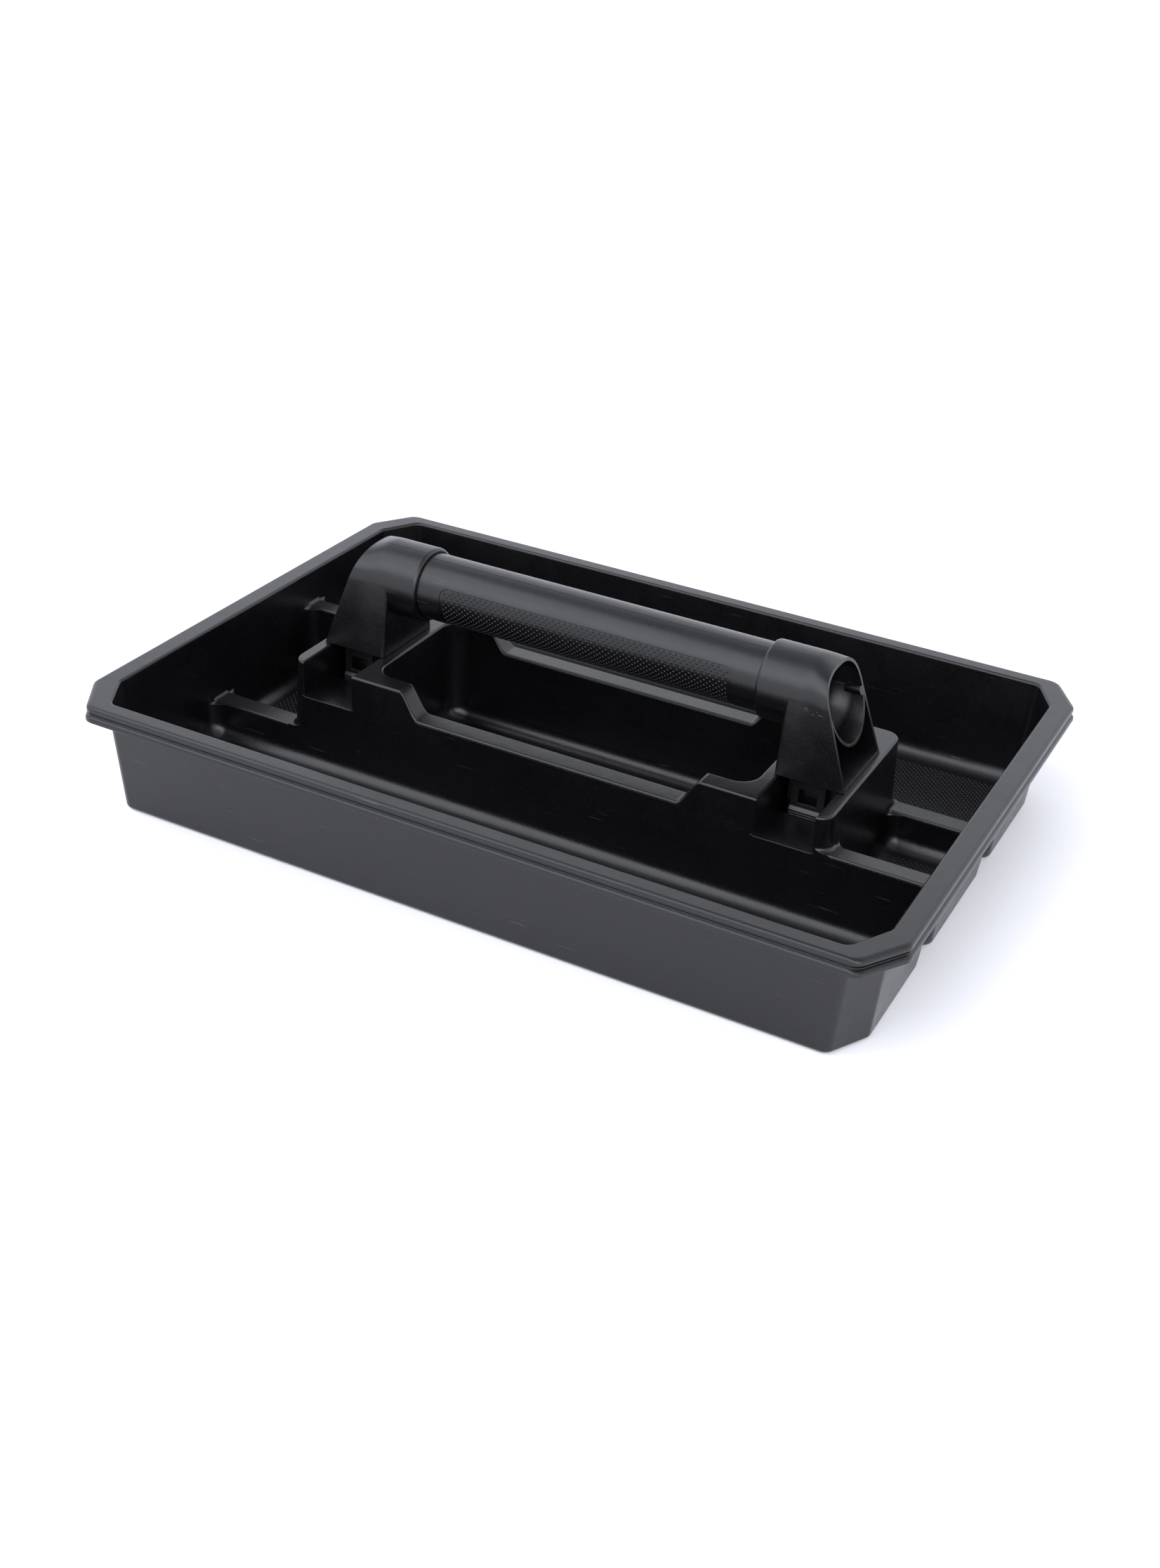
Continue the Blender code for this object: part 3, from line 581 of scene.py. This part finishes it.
def rib_hollow(sx, sy, top):
    """Channel under one rib, open below; it flares round as it leaves the end wall."""
    mid = (BAY_Y + BLOCK_Y) / 2 + 0.2
    levels = [(-8.0, 10.2), (0.0, 9.6), (2.6, 6.2), (8.0, 4.4), (top - WALL, 3.3)]
    rings = []
    for z, w in levels:
        face = BASE_X + DRAFT_X * z + 0.06
        half = [(BLOCK_X - 5.0, w)]
        half += arc(face - NOTCH_R, w + NOTCH_R, NOTCH_R, -90, 0, 14)
        half += [(246.0, w + NOTCH_R + 0.1)]
        ring = half + [(x, -y) for x, y in reversed(half)]
        rings.append([(sx * x, sy * mid + y, z) for x, y in ring])
    return loft("ribhollow", rings)


QUARTERS = [(1, -1, RIB_HIGH), (-1, 1, RIB_HIGH), (1, 1, RIB_LOW), (-1, -1, RIB_LOW)]


def flare(x):
    """Eased share, 0 to 1, of a post's change from collar to open end."""
    t = min(max((x - ARCH_IN) / ARCH_RUN, 0.0), 1.0)
    return t * t * (3 - 2 * t)


def stations(start, end):
    """X positions of a post's sections, close together where it changes."""
    flared = [ARCH_IN + ARCH_RUN * k / FLARE_STEPS for k in range(FLARE_STEPS + 1)]
    return [start] + flared + [end]


def arch_ring(x, inset, floor):
    """Post section at x: two plates leaning in to a crowned arch, inset all round."""
    t = flare(x)
    a = SLEEVE_R + (ARCH_Y - SLEEVE_R) * t - inset
    b = SLEEVE_R + (ARCH_Z - SLEEVE_R) * t - inset
    mid = TUBE_Z + (ARCH_MID - TUBE_Z) * t
    power = 2 / (2 + (ARCH_POWER - 2) * t)
    foot, base = POST_Y - inset, POST_BASE + floor - mid
    best, start = -1e9, 0.0
    for k in range(MEET_STEPS):
        angle = math.radians(k * MEET_STEP)
        y, z = a * math.cos(angle) ** power, b * math.sin(angle) ** power
        lean = (y - foot) / (z - base)
        if lean > best:
            best, start = lean, angle
    half = [(foot, base)]
    for k in range(ARCH_STEPS + 1):
        angle = start + (math.pi / 2 - start) * k / ARCH_STEPS
        half.append((a * max(math.cos(angle), 0.0) ** power, b * math.sin(angle) ** power))
    ring = half[:-1] + [(0.0, b)] + [(-y, z) for y, z in reversed(half[:-1])]
    return [(x, y, mid + z) for y, z in ring]


def lean_cutter():
    """Everything outside the leaning open end of a post."""
    top = POST_OUT - POST_LEAN * (150.0 - POST_BASE)
    low = POST_OUT + POST_LEAN * 30.0
    outline = [(low, POST_BASE - 30), (260.0, POST_BASE - 30), (260.0, 150.0), (top, 150.0)]
    return prism("lean", outline, 1, -60.0, 60.0)


def post_hollow():
    """Space inside a post, open at its outer end."""
    xs = stations(POST_IN + POST_WALL, BEYOND + 15.0)
    return loft("hollow", [arch_ring(x, POST_WALL, POST_FLOOR) for x in xs])


def cradle():
    """Lower half of a pipe under the tube's end, flared with the arch."""
    rings = []
    for x in stations(POST_IN + 0.5, BEYOND):
        share = flare(x)
        radius = SLEEVE_R - 0.7 + (CRADLE_R - SLEEVE_R + 0.7) * share
        mid = TUBE_Z + (CRADLE_MID - TUBE_Z) * share
        ring = []
        for r, way in ((radius, 1), (radius - CRADLE_WALL, -1)):
            for k in range(ARCH_STEPS * 2 + 1):
                a = math.radians(CRADLE_FROM + CRADLE_SWEEP * k / (ARCH_STEPS * 2))
                ring.append((x, -way * r * math.cos(a), mid - r * math.sin(a)))
        rings.append(ring)
    return loft("cradle", rings)


def turned(name, profile):
    """Solid of revolution on the handle's axis from (x, radius) pairs."""
    rings = []
    for x, radius in profile:
        ring = []
        for k in range(TURN_SEGMENTS):
            a = 2 * math.pi * k / TURN_SEGMENTS
            ring.append((x, radius * math.cos(a), TUBE_Z + radius * math.sin(a)))
        rings.append(ring)
    return loft(name, rings)


def post_shell(name):
    """Outer form of a post, its inner face rounded off all round."""
    rings = []
    for k in range(ARC + 1):
        a = math.pi / 2 * k / ARC
        x = POST_IN + POST_EDGE * (1 - math.cos(a))
        rings.append(arch_ring(x, POST_EDGE * (1 - math.sin(a)), 0.0))
    for x in stations(POST_IN + POST_EDGE, BEYOND)[1:]:
        rings.append(arch_ring(x, 0.0, 0.0))
    return loft(name, rings)


def collar():
    """Sleeve of a post around the tube, its free end rounded."""
    r = SLEEVE_R - 0.02
    profile = [(COLLAR_X, r - 1.9), (COLLAR_X + 0.25, r - 1.15), (COLLAR_X + 0.75, r - 0.5),
               (COLLAR_X + 1.5, r - 0.12), (COLLAR_X + 2.4, r), (POST_IN + 3, r)]
    return turned("collar", profile)


def stop():
    """Bead along the cradle's back edge, just beyond the tube's end."""
    outline = []
    for k in range(BEAD_SEGMENTS):
        a = 2 * math.pi * k / BEAD_SEGMENTS
        outline.append((STOP_Y + STOP_R * math.cos(a), STOP_Z + STOP_R * math.sin(a)))
    return prism("stop", outline, 0, STOP_IN, BEYOND)


def tidy(obj, mat):
    """Merges doubles, marks creases sharp and shades the rest smooth."""
    bm = bmesh.new()
    bm.from_mesh(obj.data)
    bmesh.ops.remove_doubles(bm, verts=bm.verts, dist=0.00001)
    bmesh.ops.dissolve_degenerate(bm, dist=0.000004, edges=bm.edges)
    bmesh.ops.recalc_face_normals(bm, faces=bm.faces)
    for face in bm.faces:
        face.smooth = True
    for edge in bm.edges:
        if len(edge.link_faces) == 2:
            edge.smooth = edge.calc_face_angle(0) < math.radians(CREASE)
    bm.to_mesh(obj.data)
    bm.free()
    obj.data.materials.clear()
    obj.data.materials.append(mat)
    mod = obj.modifiers.new("normals", "WEIGHTED_NORMAL")
    mod.mode = "FACE_AREA"
    mod.weight = 50
    mod.keep_sharp = True
    return obj


def place(obj, body, node=None):
    """Rides the piece on its body and hides the CAD part that it stands for, if any."""
    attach(obj, body)
    if node:
        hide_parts(node)


def make_tray(mat):
    """The moulded tray: hull and rim, hollowed from above and below."""
    tray = body()
    tray.name = "tray_shell"
    cut(tray, rim(), "UNION")
    for sign in (1, -1):
        cut(tray, trough("trough", sign))
        cut(tray, bay("bay", sign))
    cut(tray, well())
    for sx, sy, top in QUARTERS:
        cut(tray, rib_gap(sx, sy, top))
        cut(tray, block_corner(sx, sy, top))
    cut(tray, block_top())
    for sign in (1, -1):
        cut(tray, dip(sign))
        cut(tray, slot(sign))
        for cutter in slot_edges(sign):
            cut(tray, cutter)
    for sign in (1, -1):
        cut(tray, end_hollow(sign))
        cut(tray, wall_hollow(sign))
    for sx, sy, top in QUARTERS:
        cut(tray, rib_hollow(sx, sy, top))
    place(tidy(tray, mat), "tray", "tray")


def stud_template(radius, height):
    """One rounded pip standing on z = 0, sunk a little below it."""
    sides = STUD_SIDES
    levels = [(1.0, -0.12), (0.98, 0.06), (0.76, 0.62), (0.4, 0.93)]
    verts = []
    for share, z in levels:
        for k in range(sides):
            a = 2 * math.pi * k / sides
            r = radius * share * (1.0 if k % 2 == 0 else 0.9)
            verts.append((r * math.cos(a), r * math.sin(a), z if z < 0 else z * height))
    verts.append((0, 0, height))
    faces = [list(range(sides))[::-1]]
    for level in range(len(levels) - 1):
        for k in range(sides):
            j = (k + 1) % sides
            base = level * sides
            faces.append([base + k, base + j, base + sides + j, base + sides + k])
    last = (len(levels) - 1) * sides
    for k in range(sides):
        faces.append([last + k, last + (k + 1) % sides, len(verts) - 1])
    return np.array(verts), faces


def stud_field(name, places, mat, radius=STUD_R, height=STUD_H):
    """Many pips in one mesh; each place is (origin, x axis, y axis, normal)."""
    template, faces = stud_template(radius, height)
    verts = []
    for origin, ax, ay, normal in places:
        basis = np.array([ax, ay, normal])
        verts.append(template @ basis + np.array(origin))
    count = len(template)
    cloud = np.concatenate(verts) * MM
    all_faces = []
    for k in range(len(places)):
        for face in faces:
            all_faces.append([k * count + i for i in face])
    mesh = bpy.data.meshes.new(name)
    mesh.from_pydata(cloud.tolist(), [], all_faces)
    mesh.polygons.foreach_set("use_smooth", [True] * len(all_faces))
    mesh.materials.append(mat)
    obj = bpy.data.objects.new(name, mesh)
    bpy.context.scene.collection.objects.link(obj)
    return obj


def floor_studs(name, edges, mat):
    """Pips over the flat part of one compartment floor."""
    drop = HEIGHT - FLOOR
    limits = [(nx, ny, c - draft * drop - FILLET - STUD_EDGE) for nx, ny, c, draft, _ in edges]
    places = []
    for i in range(-REACH_X, REACH_X + 1):
        for j in range(-REACH_Y, REACH_Y + 1):
            x, y = i * FLOOR_PITCH / 2, j * FLOOR_PITCH / 2
            if (i + j) % 2:
                continue
            if all(nx * x + ny * y <= c for nx, ny, c in limits):
                places.append(((x, y, FLOOR), (1, 0, 0), (0, 1, 0), (0, 0, 1)))
    obj = stud_field(name, places, mat)
    place(obj, "tray")


def tube_profile():
    """Outer outline of the tube with a hairline seam a little in front of its top."""
    outline = []
    gap = math.degrees(SEAM_W / TUBE_R)
    for k in range(TUBE_SEGMENTS):
        a = 90 + SEAM_TURN + 360.0 * k / TUBE_SEGMENTS
        if k == 0:
            outline += [(a - gap, TUBE_R), (a - gap * 0.25, TUBE_R - SEAM_D),
                        (a + gap * 0.25, TUBE_R - SEAM_D), (a + gap, TUBE_R)]
        else:
            outline.append((a, TUBE_R))
    points = []
    for a, r in outline:
        turn = math.radians(a)
        points.append((r * math.cos(turn), TUBE_Z + r * math.sin(turn)))
    return points


def grip_edge(x):
    """Angle from the top at which the grip's recess starts, rounded at its ends."""
    over = abs(x) - (GRIP_HALF - GRIP_CORNER)
    if over <= 0:
        return GRIP_START
    lift = GRIP_CORNER - math.sqrt(max(GRIP_CORNER ** 2 - over ** 2, 0.0))
    return GRIP_START + math.degrees(lift / TUBE_R)


def grip_recess():
    """Cutter for the shallow recess that the studs stand in."""
    half = []
    for k in range(GRIP_STEPS + 1):
        a = math.pi / 2 * k / GRIP_STEPS
        half.append(GRIP_HALF - GRIP_CORNER * (1 - math.sin(a)))
    xs = [-x for x in reversed(half)] + half
    rings = []
    count = GRIP_SEGMENTS
    for x in xs:
        start = grip_edge(x)
        ring = []
        sides = ((TUBE_R - GRIP_DEPTH, range(count + 1)), (TUBE_R + 2.0, range(count, -1, -1)))
        for radius, order in sides:
            for k in order:
                a = math.radians(90 + start + (360 - 2 * start) * k / count)
                ring.append((x, radius * math.cos(a), TUBE_Z + radius * math.sin(a)))
        rings.append(ring)
    return loft("recess", rings)


def make_tube(mat):
    """Bored grip tube with its seam and the shallow recess under the pips."""
    tube = prism("grip_tube", tube_profile(), 0, -TUBE_HALF, TUBE_HALF)
    cut(tube, rod("bore", TUBE_BORE, -TUBE_HALF - 5, TUBE_HALF + 5, TUBE_SEGMENTS))
    cut(tube, grip_recess())
    place(tidy(tube, mat), "handle", "handle_tube")


def make_grip_studs(mat):
    """Staggered rows of pips around the grip's recess."""
    places = []
    radius = TUBE_R - GRIP_DEPTH
    step = STUD_PITCH_Y / 2
    rows = int((360 - 2 * GRIP_START) * math.pi / 180 * TUBE_R / step)
    for row in range(rows + 1):
        along = (row + 0.7) * step
        a_top = GRIP_START + math.degrees(along / TUBE_R)
        for col in range(-REACH_GRIP, REACH_GRIP + 1):
            x = (col + (0.5 if row % 2 else 0.0)) * STUD_PITCH_X
            if abs(x) > GRIP_HALF - STUD_EDGE:
                continue
            start = grip_edge(abs(x) + 1.0) + 3.2
            if a_top < start or a_top > 360 - start:
                continue
            a = math.radians(90 + a_top)
            normal = (0, math.cos(a), math.sin(a))
            across = (0, -math.sin(a), math.cos(a))
            origin = (x, radius * math.cos(a), TUBE_Z + radius * math.sin(a))
            places.append((origin, (1, 0, 0), across, normal))
    obj = stud_field("grip_studs", places, mat, GRIP_STUD_R, GRIP_DEPTH)
    place(obj, "handle")


def seam_cutter(low, high, sign):
    """Hairline mould seam along the post's crown, a little in front of the top."""
    rings = []
    for x in (low, high):
        a = math.radians(90 + sign * SEAM_TURN)
        out = (math.cos(a), math.sin(a))
        side = (out[1], -out[0])
        ring = []
        for along, across in ((1.5, -1.3), (-SEAM_D, -0.09), (-SEAM_D, 0.09), (1.5, 1.3)):
            r = SLEEVE_R + along
            ring.append((x, r * out[0] + across * side[0], TUBE_Z + r * out[1] + across * side[1]))
        rings.append(ring)
    return loft("seam", rings)


def make_post(name, node, sign, mat):
    """Collar, hollow arched post, cradle and plug; the left one is turned round."""
    post = post_shell(name)
    cut(post, collar(), "UNION")
    cut(post, post_hollow())
    cut(post, cradle(), "UNION")
    cut(post, stop(), "UNION")
    cut(post, lean_cutter())
    cut(post, rod("bore", SLEEVE_BORE, COLLAR_X - 5, TUBE_HALF + 0.6))
    plug = box("plug", (PLUG_IN, -PLUG_Y, PLUG_Z), (PLUG_OUT, PLUG_Y, POST_BASE + 1.2))
    cut(post, plug, "UNION")
    w = POST_WALL
    inside = box("inside", (PLUG_IN + w, -PLUG_Y + w, PLUG_Z - 5),
                 (PLUG_OUT - w, PLUG_Y - w, POST_BASE - 2.0))
    cut(post, inside)
    cut(post, seam_cutter(COLLAR_X - 2, SEAM_END, sign))
    if sign < 0:
        post.data.transform(Matrix.Rotation(math.pi, 4, "Z"))
    place(tidy(post, mat), "handle", node)


def make_latch(name, node, sign, mat):
    """Spring tongue in front of the plug, windowed, with a ribbed finger pad."""
    y0, y1 = LATCH_Y - LATCH_T / 2, LATCH_Y + LATCH_T / 2
    profile = [(-y0, LATCH_LOW), (-y0, LATCH_HIGH), (-y1, LATCH_HIGH), (-y1, PAD_TOP)]
    for k in range(PAD_RIBS):
        z = PAD_TOP - 1.9 - PAD_PITCH * k
        y = -y1 - PAD_OUT
        profile += [(y, z), (y, z - 0.7), (y + 0.5, z - 1.0), (y + 0.5, z - 1.2)]
    profile += [(-y1 - 1.2, 44.0), (-y1 - 0.8, LATCH_LOW)]
    half = LATCH_W / 2
    latch = prism(name, profile, 0, SLOT_MID - half, SLOT_MID + half)
    window = box("window", (SLOT_MID - WINDOW_HALF, -y1 - 5, WINDOW_LOW),
                 (SLOT_MID + WINDOW_HALF, -y0 + 5, WINDOW_HIGH))
    cut(latch, window)
    if sign < 0:
        latch.data.transform(Matrix.Diagonal((-1, 1, 1, 1)))
        latch.data.flip_normals()
    tidy(latch, mat)
    bevel = latch.modifiers.new("ease", "BEVEL")
    bevel.width = 0.3 * MM
    bevel.segments = 2
    bevel.limit_method = "ANGLE"
    bevel.use_clamp_overlap = True
    latch.modifiers.move(1, 0)
    place(latch, node, node)


def compartments():
    """Name of each studded floor's pips, with the edges of its compartment."""
    return {"back_trough_studs": trough_edges(1), "front_trough_studs": trough_edges(-1),
            "right_bay_studs": bay_edges(1), "left_bay_studs": bay_edges(-1)}


class Nodes:
    """Small helper that adds and links shader nodes."""

    def __init__(self, mat):
        self.tree = mat.node_tree
        self.bsdf = self.tree.nodes["Principled BSDF"]

    def add(self, kind, inputs=None, **settings):
        """New node; an input takes a value or another node's output."""
        node = self.tree.nodes.new(kind)
        for key, value in settings.items():
            setattr(node, key, value)
        for key, value in (inputs or {}).items():
            if isinstance(value, bpy.types.NodeSocket):
                self.tree.links.new(value, node.inputs[key])
            else:
                node.inputs[key].default_value = value
        return node

    def link(self, a, b):
        self.tree.links.new(a, b)


def noise(n, coords, scale, detail=4.0, rough=0.5, distortion=0.0):
    """Cloudy value between 0 and 1."""
    node = n.add("ShaderNodeTexNoise", {"Vector": coords, "Scale": scale, "Detail": detail,
                                        "Roughness": rough, "Distortion": distortion})
    return node.outputs["Fac"]


def span(n, value, low, high, to_low, to_high):
    """Value stretched from one range to another, and held inside it."""
    node = n.add("ShaderNodeMapRange", {"Value": value, "From Min": low, "From Max": high,
                                        "To Min": to_low, "To Max": to_high}, clamp=True)
    return node.outputs["Result"]


def maths(n, operation, a, b=0.0):
    """One sum of two values."""
    node = n.add("ShaderNodeMath", {0: a, 1: b}, operation=operation)
    return node.outputs["Value"]


def black_plastic(name, seed, wear=1.0):
    """Moulded black plastic: fine spark grain, faint flow marks, dust and scuffs."""
    mat = bpy.data.materials.new(name)
    mat.use_nodes = True
    n = Nodes(mat)
    coords = n.add("ShaderNodeTexCoord").outputs["Object"]
    shift = n.add("ShaderNodeMapping", {"Vector": coords,
                                        "Location": (seed * 0.37, seed * 0.19, seed * 0.53)})
    here = shift.outputs["Vector"]
    fleck = noise(n, here, 900.0, 3.0, 0.6)
    scratch = scratches(n, here, wear)
    specks = span(n, noise(n, here, 2600.0, 2.0, 0.5), 0.715, 0.76, 0.0, 1.0)
    pale = maths(n, "MAXIMUM", maths(n, "MULTIPLY", scratch, 0.55),
                 maths(n, "MULTIPLY", specks, 0.35 * wear))
    n.link(plastic_colour(n, here, fleck, pale), n.bsdf.inputs["Base Color"])
    flow = noise(n, here, 42.0, 4.0, 0.6, 0.6)
    roughness = span(n, flow, 0.3, 0.7, MATT_LOW, MATT_HIGH)
    roughness = maths(n, "ADD", roughness, span(n, fleck, 0.3, 0.7, -0.03, 0.03))
    roughness = maths(n, "ADD", roughness, maths(n, "MULTIPLY", pale, 0.25))
    n.link(roughness, n.bsdf.inputs["Roughness"])
    n.bsdf.inputs["IOR"].default_value = 1.5
    n.link(plastic_relief(n, here, fleck, scratch), n.bsdf.inputs["Normal"])
    return mat


def scratches(n, here, wear):
    """Long thin streaks in a few directions, kept to patches."""
    streaks = []
    for k, (turn_deg, stretch) in enumerate(STREAKS):
        turned_by = (0.35 * k, 0.2, math.radians(turn_deg))
        m = n.add("ShaderNodeMapping", {"Vector": here, "Rotation": turned_by,
                                        "Scale": (1.0, stretch, stretch)})
        line = noise(n, m.outputs["Vector"], 24.0, 2.0, 0.4)
        streaks.append(span(n, line, 0.735, 0.775, 0.0, 1.0))
    scratch = maths(n, "MAXIMUM", maths(n, "MAXIMUM", streaks[0], streaks[1]), streaks[2])
    patch = span(n, noise(n, here, 34.0, 2.0, 0.5), 0.52, 0.66, 0.0, 1.0)
    return maths(n, "MULTIPLY", scratch, maths(n, "MULTIPLY", patch, wear))


def plastic_colour(n, here, fleck, pale):
    """Two near-black tones in soft clouds, flecked, paler where scuffed or dusty."""
    ramp = n.add("ShaderNodeValToRGB", {"Fac": noise(n, here, 16.0, 5.0, 0.55, 0.4)})
    first, last = ramp.color_ramp.elements
    first.position, last.position = 0.32, 0.7
    first.color, last.color = TONE_LOW, TONE_HIGH
    fine = span(n, fleck, 0.3, 0.7, 0.75, 1.3)
    tinted = n.add("ShaderNodeVectorMath", {0: ramp.outputs["Color"], "Scale": fine},
                   operation="SCALE")
    mix = n.add("ShaderNodeMix", {"Factor": pale, "A": tinted.outputs[0], "B": SCUFF_TONE},
                data_type="RGBA")
    return mix.outputs[2]


def plastic_relief(n, here, fleck, scratch):
    """Spark-eroded grain over a faint orange peel, scratches very slightly sunk."""
    voronoi = n.add("ShaderNodeTexVoronoi", {"Vector": here, "Scale": GRAIN_SIZE},
                    feature="F1")
    cells = voronoi.outputs["Distance"]
    height = maths(n, "ADD", maths(n, "MULTIPLY", fleck, 0.7), maths(n, "MULTIPLY", cells, 0.5))
    height = maths(n, "SUBTRACT", height, maths(n, "MULTIPLY", scratch, SCRATCH_SINK))
    edge = n.add("ShaderNodeBevel", {"Radius": SOFT_EDGE}, samples=4)
    grain = n.add("ShaderNodeBump", {"Strength": GRAIN_STRENGTH, "Distance": GRAIN_DEPTH,
                                     "Height": height, "Normal": edge.outputs["Normal"]})
    waves = noise(n, here, PEEL_SIZE, 2.0, 0.5)
    peel = n.add("ShaderNodeBump", {"Strength": PEEL_STRENGTH, "Distance": PEEL_DEPTH,
                                    "Height": waves, "Normal": grain.outputs["Normal"]})
    return peel.outputs["Normal"]


def build():
    """All pieces, each with its own plastic; the pips share their piece's."""
    tray_mat = black_plastic("tray_plastic_fine", 1)
    make_tray(tray_mat)
    for name, edges in compartments().items():
        floor_studs(name, edges, tray_mat)
    tube_mat = black_plastic("tube_plastic_fine", 2, wear=0.8)
    make_tube(tube_mat)
    make_grip_studs(tube_mat)
    for word, sign in (("right", 1), ("left", -1)):
        node = "post_" + word
        make_post(node + "_shell", node, sign, black_plastic(node + "_fine", 3 + sign))
        node = "latch_" + word
        make_latch(node + "_tongue", node, sign, black_plastic(node + "_fine", 7 + sign))


def make_floor():
    """Plain pale floor under the object."""
    mesh = bpy.data.meshes.new("floor")
    a, z = STAGE_SIZE, -STAGE_DROP
    mesh.from_pydata([(-a, -a, z), (a, -a, z), (a, a, z), (-a, a, z)], [], [(0, 1, 2, 3)])
    obj = bpy.data.objects.new("floor", mesh)
    bpy.context.scene.collection.objects.link(obj)
    mat = bpy.data.materials.new("pale_floor")
    mat.use_nodes = True
    n = Nodes(mat)
    coords = n.add("ShaderNodeTexCoord").outputs["Object"]
    tone = span(n, noise(n, coords, 3.0, 3.0), 0.3, 0.7, 0.86, 0.89)
    colour = n.add("ShaderNodeCombineColor", {"Red": tone, "Green": tone, "Blue": tone})
    n.link(colour.outputs["Color"], n.bsdf.inputs["Base Color"])
    n.bsdf.inputs["Roughness"].default_value = 0.9
    n.bsdf.inputs["Specular IOR Level"].default_value = 0.1
    n.bsdf.inputs["Emission Color"].default_value = STAGE_GLOW_TINT
    n.bsdf.inputs["Emission Strength"].default_value = STAGE_GLOW
    mesh.materials.append(mat)


def area_light(name, where, target, size, size_y, power):
    """Softbox of the sky's tint, aimed at target."""
    light = bpy.data.lights.new(name, "AREA")
    light.shape = "RECTANGLE"
    light.size, light.size_y = size, size_y
    light.energy = power
    light.color = SKY_TINT[:3]
    obj = bpy.data.objects.new(name, light)
    obj.location = where
    way = Vector(target) - Vector(where)
    obj.rotation_euler = way.to_track_quat("-Z", "Y").to_euler()
    bpy.context.scene.collection.objects.link(obj)


def make_lights():
    """Pale surround, brightest near the horizon, with a softbox on each side of the camera."""
    world = bpy.data.worlds.new("studio")
    bpy.context.scene.world = world
    world.use_nodes = True
    tree = world.node_tree
    coords = tree.nodes.new("ShaderNodeTexCoord")
    split = tree.nodes.new("ShaderNodeSeparateXYZ")
    tree.links.new(coords.outputs["Generated"], split.inputs["Vector"])
    ramp = tree.nodes.new("ShaderNodeMapRange")
    ramp.interpolation_type = "SMOOTHSTEP"
    limits = {"From Min": SKY_FADE[0], "From Max": SKY_FADE[1], "To Min": SKY_LOW, "To Max": SKY_HIGH}
    for key, value in limits.items():
        ramp.inputs[key].default_value = value
    tree.links.new(split.outputs["Z"], ramp.inputs["Value"])
    background = tree.nodes["Background"]
    background.inputs["Color"].default_value = SKY_TINT
    tree.links.new(ramp.outputs["Result"], background.inputs["Strength"])
    for softbox in SOFTBOXES:
        area_light(*softbox)


def make_camera():
    """Camera a little right of the front, looking down at the tray, with a slight roll."""
    data = bpy.data.cameras.new("camera")
    data.sensor_width = CAM_SENSOR
    data.lens = CAM_LENS
    cam = bpy.data.objects.new("camera", data)
    forward = Vector(CAM_WAY).normalized()
    level = forward.cross(Vector((0, 0, 1))).normalized()
    lift = level.cross(forward)
    right = math.cos(CAM_ROLL) * level + math.sin(CAM_ROLL) * lift
    up = -math.sin(CAM_ROLL) * level + math.cos(CAM_ROLL) * lift
    columns = (right, up, -forward, Vector(CAM_AT))
    rows = [[column[k] for column in columns] for k in range(3)]
    cam.matrix_world = Matrix(rows + [[0, 0, 0, 1]])
    bpy.context.scene.collection.objects.link(cam)
    bpy.context.scene.camera = cam


build()
make_floor()
make_lights()
make_camera()
bpy.context.scene.view_settings.view_transform = "Standard"
